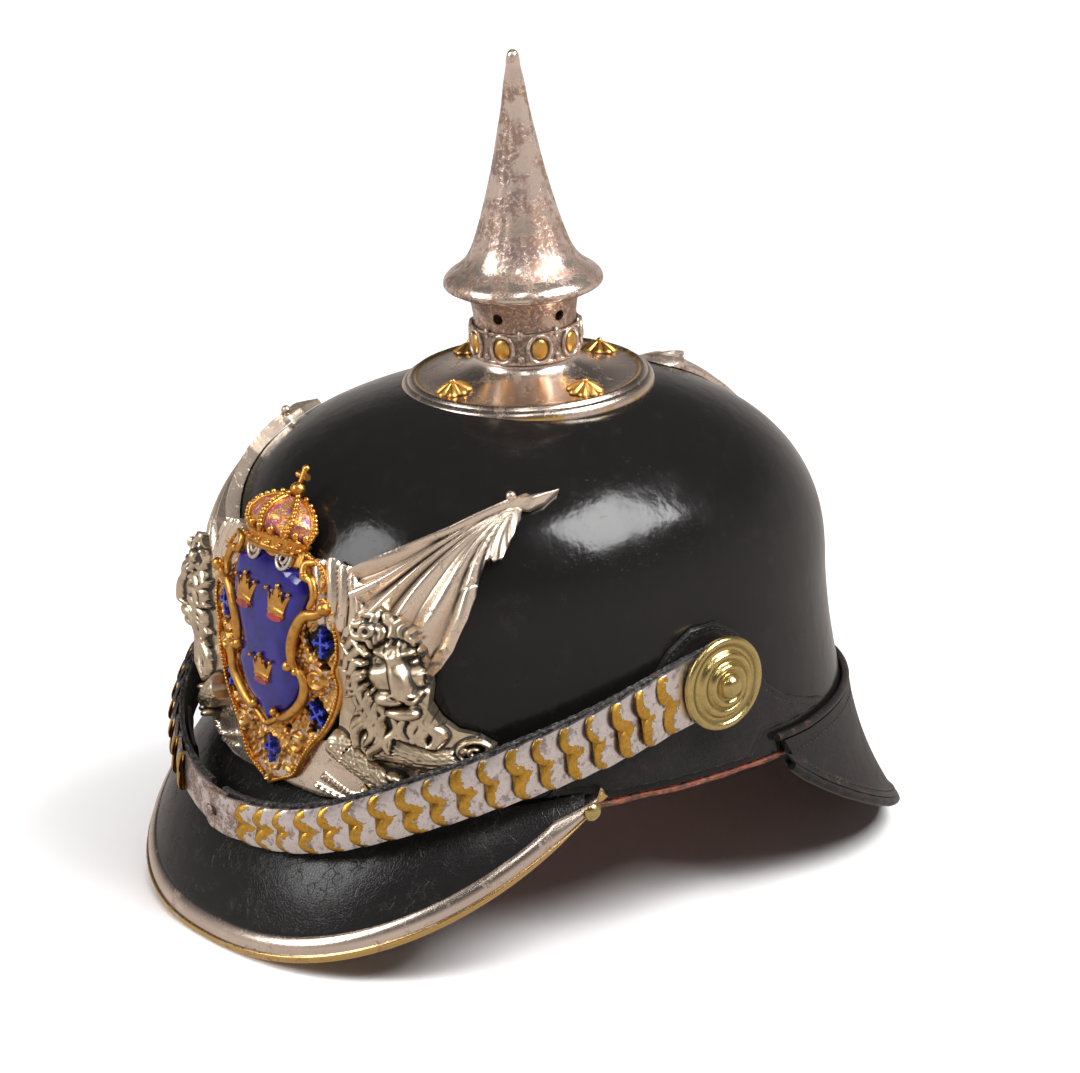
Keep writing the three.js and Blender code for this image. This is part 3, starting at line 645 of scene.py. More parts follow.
# --- relief
def inside(outline, a, b):
    """Distance in mm from points to an outline, above 0 inside it."""
    outline = np.asarray(outline, float)
    best = np.full(a.shape, 1e9)
    within = np.zeros(a.shape, bool)
    for (x0, y0), (x1, y1) in zip(outline, np.roll(outline, -1, axis=0)):
        dx, dy = x1 - x0, y1 - y0
        t = np.clip(((a - x0) * dx + (b - y0) * dy) / max(dx * dx + dy * dy, 1e-12), 0, 1)
        best = np.minimum(best, (a - x0 - t * dx) ** 2 + (b - y0 - t * dy) ** 2)
        crosses = (y0 > b) != (y1 > b)
        within ^= crosses & (a < dx * (b - y0) / (dy if abs(dy) > 1e-12 else 1e-12) + x0)
    return np.where(within, 1, -1) * np.sqrt(best)


def within(outline):
    return lambda a, b: inside(outline, a, b)


def level(height):
    return lambda a, b: np.full(a.shape, height)


def spot_on(surface, a, b, height):
    return raised(surface, np.array([a]), np.array([b]), np.array([height]))[0]


def add_relief(shape, distance, height, surface, box, step=0.5, floor=GAP, finish=0, hollow=None):
    """Adds a raised patch: where distance(a, b) is above 0, its front lies height(a, b) off surface(a, b).

    The rim cells are pulled onto the line where distance is 0, and walls join the front to its back,
    which lies at the height floor.
    """
    a0, b0, a1, b1 = box
    a, b = np.meshgrid(np.arange(a0 - 2 * step, a1 + 2 * step, step),
        np.arange(b0 - 2 * step, b1 + 2 * step, step))
    d = distance(a, b)
    slope_b, slope_a = np.gradient(d, step)
    length = np.maximum(np.hypot(slope_a, slope_b), 0.5)
    pull = np.where(d < 0, -d, 0.0)
    near = d > -1.5 * step
    a = a + np.where(near, pull * slope_a / length**2, 0.0)
    b = b + np.where(near, pull * slope_b / length**2, 0.0)
    kept = near[:-1, :-1] & near[1:, :-1] & near[:-1, 1:] & near[1:, 1:]
    kept &= np.maximum.reduce([d[:-1, :-1], d[1:, :-1], d[:-1, 1:], d[1:, 1:]]) > 0
    faces = grid_faces(*a.shape)[kept.ravel()]
    used, faces = np.unique(faces, return_inverse=True)
    faces = faces.reshape(-1, 4)
    a, b = a.ravel()[used], b.ravel()[used]
    rise = height(a, b)
    front = raised(surface, a, b, rise)
    behind = raised(surface, a, b, np.full(a.shape, floor))
    count = len(used)
    edges = np.vstack([faces[:, [k, (k + 1) % 4]] for k in range(4)])
    code, mirror = edges[:, 0] * count + edges[:, 1], edges[:, 1] * count + edges[:, 0]
    rim = edges[~np.isin(code, mirror)]
    walls = np.column_stack([rim[:, 1], rim[:, 0], rim[:, 0] + count, rim[:, 1] + count])
    dark = np.zeros(count) if hollow is None else hollow(a, b)
    shape.add(np.vstack([front, behind]), np.vstack([faces, faces[:, ::-1] + count, walls]), finish,
        hollow=np.concatenate([dark, dark]))
    return shape


def about(a, b, centre, turn, radii=(1.0, 1.0)):
    """Places measured from a centre along axes turned by some degrees, in shares of two radii."""
    cos, sin = math.cos(math.radians(turn)), math.sin(math.radians(turn))
    da, db = a - centre[0], b - centre[1]
    return (da * cos + db * sin) / radii[0], (db * cos - da * sin) / radii[1]


def bump_at(a, b, centre, radii, turn=0.0):
    """A rounded knob from 1 at its centre to 0 at its rim."""
    u, v = about(a, b, centre, turn, radii)
    return np.clip(1 - (u * u + v * v), 0, None) ** 0.5


def soft_at(a, b, centre, radii, turn=0.0):
    """A soft hill, as a bell curve."""
    u, v = about(a, b, centre, turn, radii)
    return np.exp(-(u * u + v * v))


def along_line(a, b, line):
    """Distance to a bent line, and the share of its length at the nearest point."""
    line = np.asarray(line, float)
    lengths = np.linalg.norm(np.diff(line, axis=0), axis=1)
    starts = np.concatenate([[0], np.cumsum(lengths)])
    best, share = np.full(a.shape, 1e9), np.zeros(a.shape)
    for (x0, y0), (x1, y1), length, start in zip(line, line[1:], lengths, starts):
        dx, dy = x1 - x0, y1 - y0
        t = np.clip(((a - x0) * dx + (b - y0) * dy) / max(length * length, 1e-12), 0, 1)
        away = np.hypot(a - x0 - t * dx, b - y0 - t * dy)
        closer = away < best
        best = np.where(closer, away, best)
        share = np.where(closer, (start + t * length) / starts[-1], share)
    return best, share


def strand(a, b, line, width, height):
    """A raised lock along a line, round in section and pointed at both ends."""
    away, share = along_line(a, b, smooth_path(line, 14))
    wide = width * np.sin(np.pi * np.clip(0.12 + 0.88 * share, 0, 1)) ** 0.7 + 0.05
    return height * round_bar(away, wide)


# --- skull and sweatband
COLUMNS = 288
LIP_DROP = 3.0  # how far the brown edge of the leather shows below the lacquer


def dome_rows(steps, start, offset):
    """Heights from a start to the crown, for one offset off the skull."""
    wall = np.linspace(0, 1, steps // 3, endpoint=False)[:, None]
    turn = np.linspace(0, np.pi / 2, steps)[:, None]
    low = start + (SPRINGING - start) * wall
    high = SPRINGING + (SKULL_TOP + offset - SPRINGING) * np.sin(turn) ** 0.8
    return np.vstack([low, np.broadcast_to(high, (steps, low.shape[1]))])


def waves(angle, z):
    """The slight unevenness of moulded leather, from -1 to 1."""
    a = np.sin(3 * angle + 0.045 * z) + np.sin(5 * angle - 0.07 * z + 1.3) + 0.7 * np.sin(8 * angle + 0.11 *
        z)
    return a / 2.7


def build_skull():
    sizes = settings("sizes")
    angle = circle(COLUMNS)[None]
    start = lower_edge(angle)
    outer_z = dome_rows(72, start, 0.0)
    fade = np.clip((SKULL_TOP - outer_z) / 40.0, 0, 1)
    outer = skull_point(angle, outer_z, waves(angle, outer_z) * sizes.waviness * fade)
    inner = skull_point(angle, dome_rows(30, start, -SKULL_WALL), -SKULL_WALL)[::-1]
    scuffed = LIP_DROP + 0.25 * np.sin(9 * angle) * np.sin(31 * angle)
    lip = [skull_point(angle, start - scuffed * np.sin(t) ** 0.7, -SKULL_WALL / 2 * (1 + np.cos(t)) - 0.15)
        for t in np.linspace(0, np.pi, 9)[:-1]]
    rows = np.concatenate([outer, inner, np.concatenate(lip[::-1])])
    shape = Shape()
    faces = grid_faces(len(rows), COLUMNS, around=True, loop=True)
    shape.add(rows, faces)
    row_of = faces[:, 0] // COLUMNS
    shape.finishes = [np.where(row_of < len(outer) - 1, 0, 1)]
    piece("skull_leather", shape, [lacquer(), brown_leather()], ["skull"])


def build_sweatband():
    angle = circle(COLUMNS // 2)[None]
    offset = -SKULL_WALL - 2 * GAP
    ruffle = 0.25 * np.sin(17 * angle) + 0.2 * np.sin(29 * angle + 1)
    low, high = lower_edge(angle) - 3.2, lower_edge(angle) + 26
    section = [(offset, t) for t in np.linspace(0.04, 1, 9)]
    section += [(offset - 1.4, t) for t in np.linspace(1, 0.04, 9)] + [(offset - 1.0, 0.0),
        (offset - 0.4, 0.0)]
    rows = np.concatenate([skull_point(angle, low + (high - low) * t, o + ruffle * (1 - t)) for o,
        t in section])
    shape = Shape().add(rows, grid_faces(len(section), COLUMNS // 2, around=True, loop=True))
    piece("sweatband_leather", shape, [brown_leather()], ["sweatband"])


# --- the two brims
VISOR = {"ends": 72, "middle": -0.4, "rise": 5, "bulge": 3.5, "thickness": 2.0, "width": 92.5, "end": -36,
    "reach": 98.5, "square": 2.3, "end_z": 13, "low_z": -40.2, "drop": 0.72}
GUARD = {"ends": 76, "middle": 1.5, "rise": 4, "bulge": -3, "thickness": 2.0, "width": 94.6, "end": 34,
    "reach": 99, "square": 2.4, "end_z": 6, "low_z": -54, "drop": 0.6}


def brim_point(brim, forward, u, v):
    """A point of a brim's middle surface: u goes from the right end to the left, v from root to rim."""
    u, v = np.broadcast_arrays(np.asarray(u, float), np.asarray(v, float))
    sweep = np.radians(brim["ends"]) * (2 * u - 1)
    angle = forward * (np.pi / 2 - sweep)
    height = lower_edge(angle) + brim["middle"] + (brim["rise"]
        - brim["middle"]) * np.abs(np.sin(sweep)) ** 3
    root = skull_point(angle, height, GAP + brim["thickness"] / 2)
    turn = (u - 0.5) * np.pi
    bend = 2 / brim["square"]
    lean = np.clip(np.cos(turn), 0, None)
    low = brim["end_z"] + (brim["low_z"] - brim["end_z"]) * lean ** brim["drop"]
    rim = np.stack([brim["width"] * signed_power(np.sin(turn), bend),
        brim["end"] + forward * brim["reach"] * lean**bend, low], -1)
    out = unit(np.stack([np.sin(turn), forward * np.cos(turn), 0.7 * np.cos(turn)], -1))
    bulge = brim["bulge"] * np.sin(np.pi * v) * np.sqrt(lean)
    return root + (rim - root) * v[..., None] + out * bulge[..., None]


def brim_normal(brim, forward, u, v):
    step = 1e-3
    u = np.clip(u, step, 1 - step)
    along = brim_point(brim, forward, u + step, v) - brim_point(brim, forward, u - step, v)
    across = brim_point(brim, forward, u, v) - brim_point(brim, forward, u, v - step)
    normal = unit(np.cross(along, across))
    return normal * np.where(normal[..., 2:] < 0, -1, 1)


def rim_reach(brim, forward, u):
    """The brim's width at u, measured square to its rim."""
    step = 0.01
    out = brim_point(brim, forward, u, 1.0) - brim_point(brim, forward, u, 0.0)
    rim = unit(brim_point(brim, forward, np.minimum(u + step, 1), 1.0)
        - brim_point(brim, forward, np.maximum(u - step, 0), 1.0))
    return np.linalg.norm(np.cross(rim, out), axis=-1)


def add_brim(shape, brim, forward, ends, stop):
    """The leather of a brim, from its root to the share stop of its width, with a rounded edge."""
    u = np.linspace(*ends, 220)[:, None]
    v = np.concatenate([np.linspace(0, 1, 26), np.ones(3), np.linspace(1, 0, 26), np.zeros(3)])[None]
    side = np.concatenate([np.ones(26), [0.7, 0, -0.7], -np.ones(26), [-0.7, 0, 0.7]])[None]
    lip = np.zeros(58)
    lip[26:29] = [0.4, 0.6, 0.4]
    reach = stop(u)
    share = v * reach + lip[None] / np.maximum(rim_reach(brim, forward, u), 1.0)
    half = brim["thickness"] / 2
    points = brim_point(brim, forward, u + 0 * v, share)
    points = points + brim_normal(brim, forward, u + 0 * v, np.clip(share, 0.01, 1)) * (side * half)[...,
        None]
    add_sweep(shape, points)


def trim_start(u):
    """The share of the visor's width where its metal trim begins."""
    width = settings("sizes").trim_width
    return np.maximum(1 - width / rim_reach(VISOR, -1, u), 0.36)


def build_visor():
    shape = Shape()
    add_brim(shape, VISOR, -1, (0.03, 0.97), lambda u: trim_start(u) + 0.01)
    piece("visor_leather", shape, [worn_leather("visor_leather", gloss=0.15, grain=0.35, edge=0.12)],
        ["visor"])


def build_visor_trim():
    """A folded metal binding: a bead along the rim, a shallow band on both faces and a raised inner edge."""
    u = np.linspace(0.004, 0.996, 280)[:, None]
    top = [(0.0, 1.5), (0.05, 1.8), (0.11, 1.9), (0.17, 1.75), (0.21, 1.35), (0.27, 1.5), (0.38, 1.95),
        (0.52, 2.15), (0.66, 2.1), (0.80, 1.85), (0.90, 1.5), (0.97, 1.2), (1.0, 0.95)]
    section = top + [(a, -b * 0.85) for a, b in reversed(top)] + [(-0.09, -0.8), (-0.13, 0.0), (-0.09, 0.8)]
    inward = np.array([a for a, b in section])[None]
    height = np.array([b for a, b in section])[None]
    start = trim_start(u)
    share = 1 - inward * (1 - start)
    points = brim_point(VISOR, -1, u + 0 * inward, share)
    points = points + brim_normal(VISOR, -1, u + 0 * inward, np.clip(share, 0.02, 1)) * height[..., None]
    near_end = 0.35 * np.clip((u - 0.72) / 0.2, 0, 1)
    under = np.broadcast_to((height < 0.9) * 1.0 + (inward < 0.2) * 0.62 + near_end, points.shape[:2])
    # Painted shade in the groove across the band and along the trim's inner edge, through the hollow value.
    groove = np.broadcast_to(((inward > 0.19) & (inward < 0.26)) * 0.5 + (inward > 0.95) * 0.4,
        points.shape[:2])
    shape = Shape()
    add_sweep(shape, points, gold=np.clip(under, 0, 1).ravel(), hollow=groove.ravel())
    piece("visor_metal_trim", shape, [two_metal("trim_metal")], ["visor_trim"])
    for side, name in SIDES:
        seat = node_centre("visor_rivet_" + name)
        knob = Shape()
        profile = [(0, 0), (2.9, 0), (3.1, 0.25), (2.9, 0.9), (2.3, 1.6), (1.4, 2.1), (0.5, 2.3), (0, 2.3)]
        add_stud(knob, profile, seat - [side * 1.1, 0, 0], side)
        piece("visor_rivet_head_" + name, knob, [brass()], ["visor_rivet_" + name])


def add_stud(shape, profile, centre, side, segments=48, hollow=None):
    """A turned knob with its axis along X, on one side of the helmet."""
    profile = np.asarray(profile, float)
    turn = circle(segments)
    points = np.stack([side * np.repeat(profile[:, 1:], segments, 1), profile[:, :1] * np.cos(turn),
        profile[:, :1] * np.sin(turn)], -1) + np.asarray(centre)
    dark = 0.0 if hollow is None else np.repeat(np.asarray(hollow, float), segments)
    shape.add(points, grid_faces(len(profile), segments, around=True), hollow=dark)


def build_neck_guard():
    shape = Shape()
    ends = (0.022, 0.978)
    add_brim(shape, GUARD, 1, ends, lambda u: 1 - 1.9 / np.maximum(rim_reach(GUARD, 1, u), 3))
    leather = worn_leather("guard_leather", gloss=0.33, grain=1.0, edge=0.3)
    piece("neck_guard_leather", shape, [leather], ["neck_guard"])
    u = np.linspace(0.012, 0.988, 240)
    rolled = Shape()
    line = brim_point(GUARD, 1, u, np.ones_like(u))
    up = brim_normal(GUARD, 1, u, np.full_like(u, 0.98))
    swell = 1.7 + 0.1 * np.sin(u * 160) * np.sin(u * 57)
    add_sweep(rolled, rod(line, swell, up, sides=14))
    flap_in = np.linspace(0, 1, 5)
    for face in (1, -1):
        share = 1 - (0.8 + 3.6 * flap_in[None]) / np.maximum(rim_reach(GUARD, 1, u[:, None]), 9)
        top = brim_point(GUARD, 1, u[:, None] + 0 * share, share)
        normal = brim_normal(GUARD, 1, u[:, None] + 0 * share, share) * face
        rise = 1.75 - 0.35 * flap_in[None]
        ribbon = np.concatenate([top + normal * rise[..., None], (top + normal * 0.95)[:, ::-1]], 1)
        add_sweep(rolled, ribbon)
    edging = worn_leather("binding_leather", gloss=0.3, grain=0.6, edge=1.0)
    piece("neck_guard_rolled_edge", rolled, [edging], ["neck_guard_binding"])
    welt = Shape()
    seam = brim_point(GUARD, 1, u, np.zeros_like(u)) + [0, 0, 1.4 + GAP]
    add_sweep(welt, rod(seam, 1.45, (0, 0, 1), sides=14))
    piece("neck_guard_seam_welt", welt, [edging], ["neck_guard_welt"])


# --- spike, collar and base plate
def build_base_plate():
    """A stepped round plate with a beaded rim that rises in a hollow curve to the collar."""
    rise = [(17.2 + 20.4 * (1 - math.cos(t)), 129.3 - 7.2 * math.sin(t)) for t in
        np.linspace(0, math.pi / 2, 14)]
    profile = [(0, 129.2), (16.6, 129.2), *rise, (38.0, 122.35), (38.6, 122.6), (39.3, 122.6),
        (40.0, 121.9), (40.6, 121.2), (41.4, 121.1), (42.2, 120.4), (42.75, 119.2), (42.8, 117.8),
        (42.5, 117.0), (42.5, 112.3), (41.6, 112.3)]
    profile = fillet(profile, 0.3)
    shape = Shape()
    angle = circle(160)
    outer = turned(profile, 160)
    skirt = skull_front_height(outer[-1])
    outer[-1, :, 2] = skirt
    outer[-2, :, 2] = np.minimum(outer[-2, :, 2], skirt + 0.5)
    # Painted shade in the grooves of the beaded rim, through the hollow value.
    hollow = np.interp(profile[:, 0], [38.2, 38.4, 40.0, 40.4, 41.0, 41.3], [0, 0.45, 0.5, 0, 0.5, 0])
    gold = np.interp(profile[:, 0], [36.6, 37.4, 38.4, 39.2, 42.2, 42.4], [0, 0.8, 0.8, 0.1, 0.1, 0.5])
    shape.add(outer, grid_faces(len(profile), len(angle), around=True),
        hollow=np.repeat(hollow, len(angle)), gold=np.repeat(gold, len(angle)))
    under = outer[[-1, 0]].copy()
    under[1, :] = [0, SPIKE_AXIS, 118.0]
    shape.add(under, grid_faces(2, len(angle), around=True))
    metal = two_metal("plate_silver")
    piece("base_plate_metal", shape, [metal], ["base_plate"], sharp=50)


def skull_front_height(ring):
    """Heights of the skull's surface, a little above it, under points of a ring about the spike's axis."""
    x, y = ring[:, 0], ring[:, 1]
    low, high = np.full(len(x), SPRINGING), np.full(len(x), SKULL_TOP + 0.2)
    for _ in range(40):
        middle = (low + high) / 2
        reach = np.where(y > 0, half_axis("back", middle, 0.2), half_axis("front", middle, 0.2))
        side = half_axis("side", middle, 0.2)
        within = (np.abs(x) / side) ** SQUARENESS + (np.abs(y) / reach) ** SQUARENESS < 1
        low, high = np.where(within, middle, low), np.where(within, high, middle)
    return high + 0.1


def build_star_studs():
    """Four gilt studs like small ribbed umbrellas."""
    ribs, lean = 8, 0.13
    r = np.linspace(0, 1, 9)[:, None]
    turn = circle(ribs * 12)[None]
    fold = np.abs(np.cos(ribs * turn / 2))
    radius = 6.3 * r * (1 - 0.16 * (1 - fold) * r**2)
    height = 2.9 * (1 - r**1.25) + 0.75 * (fold - 0.5) * np.sin(np.pi * np.clip(r * 0.8, 0, 1)) + 0.35
    top = np.stack([radius * np.cos(turn), radius * np.sin(turn), height], -1)
    foot = top[-1:] * [1, 1, 0] - [0, 0, 0.3]
    points = np.concatenate([top, foot, foot * [0, 0, 1]])
    x, z = points[..., 0].copy(), points[..., 2].copy()
    points[..., 0] = x * math.cos(lean) + z * math.sin(lean) + 31.0
    points[..., 2] = z * math.cos(lean) - x * math.sin(lean) + 122.75
    # Painted shade in the valleys between the ribs, deeper towards the rim, and all over the foot.
    dark = np.concatenate([(1 - fold) * (0.15 + 0.6 * r), np.ones((2, turn.size))])
    shape = Shape().add(points, grid_faces(len(points), turn.size, around=True), hollow=dark.ravel())
    ball(shape, points[0, 0] + [0, 0, 0.1], (1.1, 1.1, 0.9))
    add_ring("star_studs_gilt", shape, 4, 0.0, gilt("stud_gilt"),
        [f"star_stud_{n + 1}" for n in range(4)])


def add_ring(name, shape, count, first_angle, metal, nodes):
    """Copies of a shape round the spike's axis; its points are in mm from that axis."""
    mesh = shape_mesh(name, shape, np.vstack(shape.points) * MM)
    clean(mesh)
    place = HELMET_TURN @ Matrix.Translation((0, SPIKE_AXIS * MM, 0))
    grown(name, mesh, ring_tree(), {"Count": count, "First angle": first_angle, "Metal": metal},
        nodes, place)


VENTS, VENT_RADIUS, VENT_HEIGHT = 5, 1.9, 145.4


def build_collar():
    """A tube that flares to a lip, pierced by round vents."""
    outer = fillet([(17.3, 129.7), (17.3, 143.4), (17.5, 144.6), (17.9, 147.4), (18.9, 150.6),
        (19.4, 151.4)], 0.8)
    bore = [(18.5, 151.4), (17.0, 147.4), (16.5, 144.0), (16.2, 129.7)]
    shape = Shape()
    add_turned(shape, [*outer, *bore], segments=160, closed=True)
    metal = silver("collar_silver", worn=1.0, size_mm=6.5, rough=0.15, tint=(0.74, 0.54, 0.42))
    tube = piece("collar_tube", shape, [metal], ["collar"], sharp=50)
    for number in range(VENTS):
        around = (number + 0.05) / VENTS * 2 * math.pi
        out = np.array([math.cos(around), math.sin(around), 0.0])
        axis = to_row([out, [0, 0, 0]])
        turn = Vector(axis[0] - axis[1]).to_track_quat("Z", "Y").to_matrix().to_4x4()
        turn.translation = Vector(to_row([out * 17.0 + [0, SPIKE_AXIS, VENT_HEIGHT]])[0])
        drill = bmesh.new()
        radius = VENT_RADIUS * MM
        bmesh.ops.create_cone(drill, segments=28, radius1=radius, radius2=radius, depth=6 * MM,
            cap_ends=True)
        mesh = bpy.data.meshes.new("vent_drill")
        drill.to_mesh(mesh)
        drill.free()
        mesh.transform(turn)
        cut_away(tube, mesh)


def apply_modifiers(item):
    """Turns the evaluated object into its plain mesh and removes its modifiers."""
    evaluated = item.evaluated_get(bpy.context.evaluated_depsgraph_get())
    mesh = bpy.data.meshes.new_from_object(evaluated)
    item.modifiers.clear()
    item.data = mesh


def build_collar_band():
    """A band of gilt ovals in raised silver frames, with a small leaf between each two."""
    r, middle = 17.7, 135.3
    wall = fillet([(r, 129.9), (r + 0.85, 129.9), (r + 0.85, 130.9), (r + 0.4, 131.1), (r + 0.4, 139.6),
        (r + 0.7, 139.9), (r + 0.7, 140.6), (r, 140.6)], 0.2)
    # Painted shade on the sunk field between the two rims, through the hollow value.
    sunk = np.where((wall[:, 0] < r + 0.6) & (wall[:, 1] > 131) & (wall[:, 1] < 139.7), 0.4, 0.0)
    band = Shape()
    add_turned(band, wall, segments=144, closed=True, hollow=sunk)
    metal = silver("band_silver", worn=0.7, size_mm=3.0, rough=0.24, tint=(0.72, 0.61, 0.52))
    piece("collar_band_wall", band, [metal], ["collar_band"], sharp=45)
    turn = circle(40)
    line = np.stack([r + 0.85 - 0.4 * np.cos(turn) ** 2, 4.0 * np.cos(turn), middle + 4.7 * np.sin(turn)],
        -1)
    frame_shape = Shape()
    frame_shape.add(rod(line, 0.7, (1, 0, 0), sides=8), grid_faces(40, 8, around=True, loop=True))
    half = math.pi / 9
    lean = np.array([[math.cos(half), -math.sin(half), 0], [math.sin(half), math.cos(half), 0], [0, 0, 1]])
    ball(frame_shape, lean @ [r + 0.6, 0, 131.8], (0.8, 1.3, 1.5), 0, 10, 6, lean)
    ball(frame_shape, lean @ [r + 0.6, 0, 140.2], (0.7, 1.2, 1.7), 0, 10, 6, lean)
    first = 0.42 * 2 * math.pi / 9
    add_ring("collar_band_frames", frame_shape, 9, first, metal, [])
    oval = Shape()
    ball(oval, (r + 0.7, 0, middle), (1.15, 2.75, 3.5), 0, 20, 12)
    add_ring("collar_band_ovals", oval, 9, first, gilt("oval_gilt"), [])


def build_spike():
    """A tall hollow-sided cone on a round bell with a rolled lip."""
    cone = smooth_path([(0.9, 232.9), (1.75, 232.0), (2.25, 229.9), (2.45, 227.6), (3.5, 222.0),
        (4.8, 213.0), (6.6, 204.0), (8.4, 195.0), (10.6, 186.0), (13.2, 176.5), (16.3, 167.5),
        (19.2, 162.3), (22.4, 159.3), (25.2, 157.4), (26.5, 155.9)], 90)
    lip = fillet([(26.5, 155.9), (26.9, 154.9), (26.8, 153.9), (26.2, 153.3), (25.2, 153.2), (24.8, 152.6),
        (23.6, 152.1), (22.4, 152.9), (19.8, 153.5), (15.5, 152.9), (15.4, 155.6)], 0.35)
    profile = np.vstack([[(0, 233.2)], cone, lip[1:], [(11, 169.5), (6, 193.5), (0, 217.5)]])
    shape = Shape()
    flutes = 12

    def wobble(angle, height):
        band = np.clip((height - 160) / 18, 0, 1) * np.clip((228 - height) / 12, 0, 1)
        return 1 + 0.03 * band * np.abs(np.sin(flutes * angle / 2)) - 0.015 * band

    # Painted shade under the rolled lip, through the hollow value.
    dark = np.interp(profile[:, 1], [151, 152.8, 153.3, 154.2], [0.5, 0.45, 0.5, 0.0])
    add_turned(shape, profile, segments=168, hollow=dark * (profile[:, 0] > 15), wobble=wobble)
    metal = silver("spike_silver", worn=0.78, size_mm=9.0, rough=0.15, tint=(0.86, 0.70, 0.59))
    piece("spike_metal", shape, [metal], ["spike"], sharp=40)


# --- side patches, spine and bosses
PATCH = [(-54, 11.0), (-46, 19), (-27, 31), (-18, 43), (-10, 52), (0, 57.5), (11, 57), (20, 51), (27, 41),
    (33, 29), (43, 21), (57, 14.5), (66, 11.4), (66, 9.6), (30, 12), (24, 5.4)]


def build_side_patches():
    leather = worn_leather("patch_leather", gloss=0.22, grain=0.45, edge=0.2)
    for side, name in SIDES:
        shape = Shape()
        surface = lambda a, b: skull_side(a, b, 0.0, side)
        distance = within(PATCH)

        def height(a, b):
            edge = np.clip(distance(a, b), 0, 4)
            return GAP + 1.3 * np.clip(edge / 0.8, 0, 1) ** 0.4 - 0.3 * bell(edge - 2.3, 0.6)

        add_relief(shape, distance, height, surface, (-54, 5.4, 66, 57.5), step=0.7)
        piece("side_patch_leather_" + name, shape, [leather], ["side_patch_" + name])


def build_spine():
    """A ribbed metal strip down the back of the skull."""
    v = np.linspace(0, 1, 120)[:, None]
    u = np.linspace(-1, 1, 33)[None]
    start = math.asin(((115.3 - SPRINGING) / (SKULL_TOP - SPRINGING)) ** (1 / 0.8))
    high = SPRINGING + (SKULL_TOP - SPRINGING) * np.sin(start * (1 - np.clip(v / 0.62, 0, 1))) ** 0.8
    low = SPRINGING + (10 - SPRINGING) * (v - 0.62) / 0.38
    z = np.where(v < 0.62, high, low) + 0 * u
    x = 7.6 * (1 - 0.25 * v) * np.minimum(1, np.sqrt(v / 0.05) * 0.65 + 0.35) * u
    top_roll = 1 + 1.1 * bell(v - 0.03, 0.035)
    rib = (2.3 * bell(u, 0.22) + 1.2 * bell(np.abs(u) - 0.84, 0.14)) * top_roll
    flute = 0.16 * np.sin(v * 260) * (np.abs(u) > 0.32) * (np.abs(u) < 0.7)
    front = skull_front(x, z, GAP + 1.0 + rib + flute, 1)
    back = skull_front(x, z, GAP, 1)
    shape = Shape()
    # Painted shade in the grooves beside the middle rib, through the hollow value.
    dark = bell(np.abs(u) - 0.35, 0.1) * 0.7 + 0 * v
    loop = np.concatenate([front, back[:, ::-1]], 1)
    add_sweep(shape, loop, hollow=np.concatenate([dark, dark], 1).ravel())
    piece("rear_spine_metal", shape, [silver("spine_silver", worn=0.45, size_mm=5)],
        ["rear_spine"])


def build_bosses():
    """Turned brass discs with ring mouldings and a pointed knob."""
    profile = [(0, 0), (15.7, 0), (16.0, 0.5), (15.95, 1.5), (15.4, 2.3), (14.6, 2.65), (13.9, 2.45),
        (13.3, 1.85), (12.6, 1.65), (11.6, 1.75), (11.1, 2.3), (10.6, 3.1), (9.9, 3.5), (9.2, 3.4),
        (8.6, 2.9), (8.1, 2.85), (7.6, 3.3), (7.2, 4.2), (6.6, 4.75), (5.9, 4.7), (5.3, 4.2), (4.7, 3.9),
        (4.1, 4.1), (3.9, 4.9), (3.7, 5.7), (3.1, 6.5), (2.3, 7.1), (1.3, 7.45), (0, 7.55)]
    profile = fillet(profile, 0.3)
    # Painted shade in the turned grooves, through the hollow value.
    dark = np.zeros(len(profile))
    for radius, width in ((12.9, 0.8), (8.35, 0.5), (4.5, 0.5)):
        dark = np.maximum(dark, bell(profile[:, 0] - radius, width) * 0.55)
    metal = brass()
    for side, name in SIDES:
        shape = Shape()
        add_stud(shape, profile, (side * 99.2, BOSS_Y, BOSS_Z), side, segments=96, hollow=dark)
        piece(f"boss_{name}_brass", shape, [metal], ["boss_" + name], sharp=50)


# --- chin strap and scales
STRAP_HALF = [(95.4, 7, 38.5), (95.6, -8, 37.2), (94.8, -22, 34.6), (92.2, -40, 30.6), (86, -59, 25.8),
    (74, -81.5, 19), (57.5, -100.5, 11.4), (39.5, -112.4, 4.6), (20, -118.4, 0.6), (0, -120.2, -0.6)]
STRAP = smooth_path(STRAP_HALF + [(-x, y, z) for x, y, z in STRAP_HALF[-2::-1]], 900)
STRAP_LENGTH = float(np.sum(np.linalg.norm(np.diff(STRAP, axis=0), axis=1)))


def on_strap(s, across, rise):
    """A place s mm along the strap from the left boss, across it in mm downwards, and raised off it."""
    s, across, rise = np.broadcast_arrays(np.asarray(s, float), across, rise)
    place = np.linspace(0, STRAP_LENGTH, len(STRAP))
    along = directions(STRAP)
    point = np.stack([np.interp(s, place, STRAP[:, k]) for k in range(3)], -1)
    way = unit(np.stack([np.interp(s, place, along[:, k]) for k in range(3)], -1))
    out = unit(np.cross([0.0, 0.0, 1.0], way))
    up = np.cross(way, out)
    return point + out * rise[..., None] - up * across[..., None]


def width_at(s, wide, narrow):
    run = np.clip(np.minimum(s, STRAP_LENGTH - s) / (STRAP_LENGTH / 2), 0, 1)
    return wide + (narrow - wide) * run**0.75


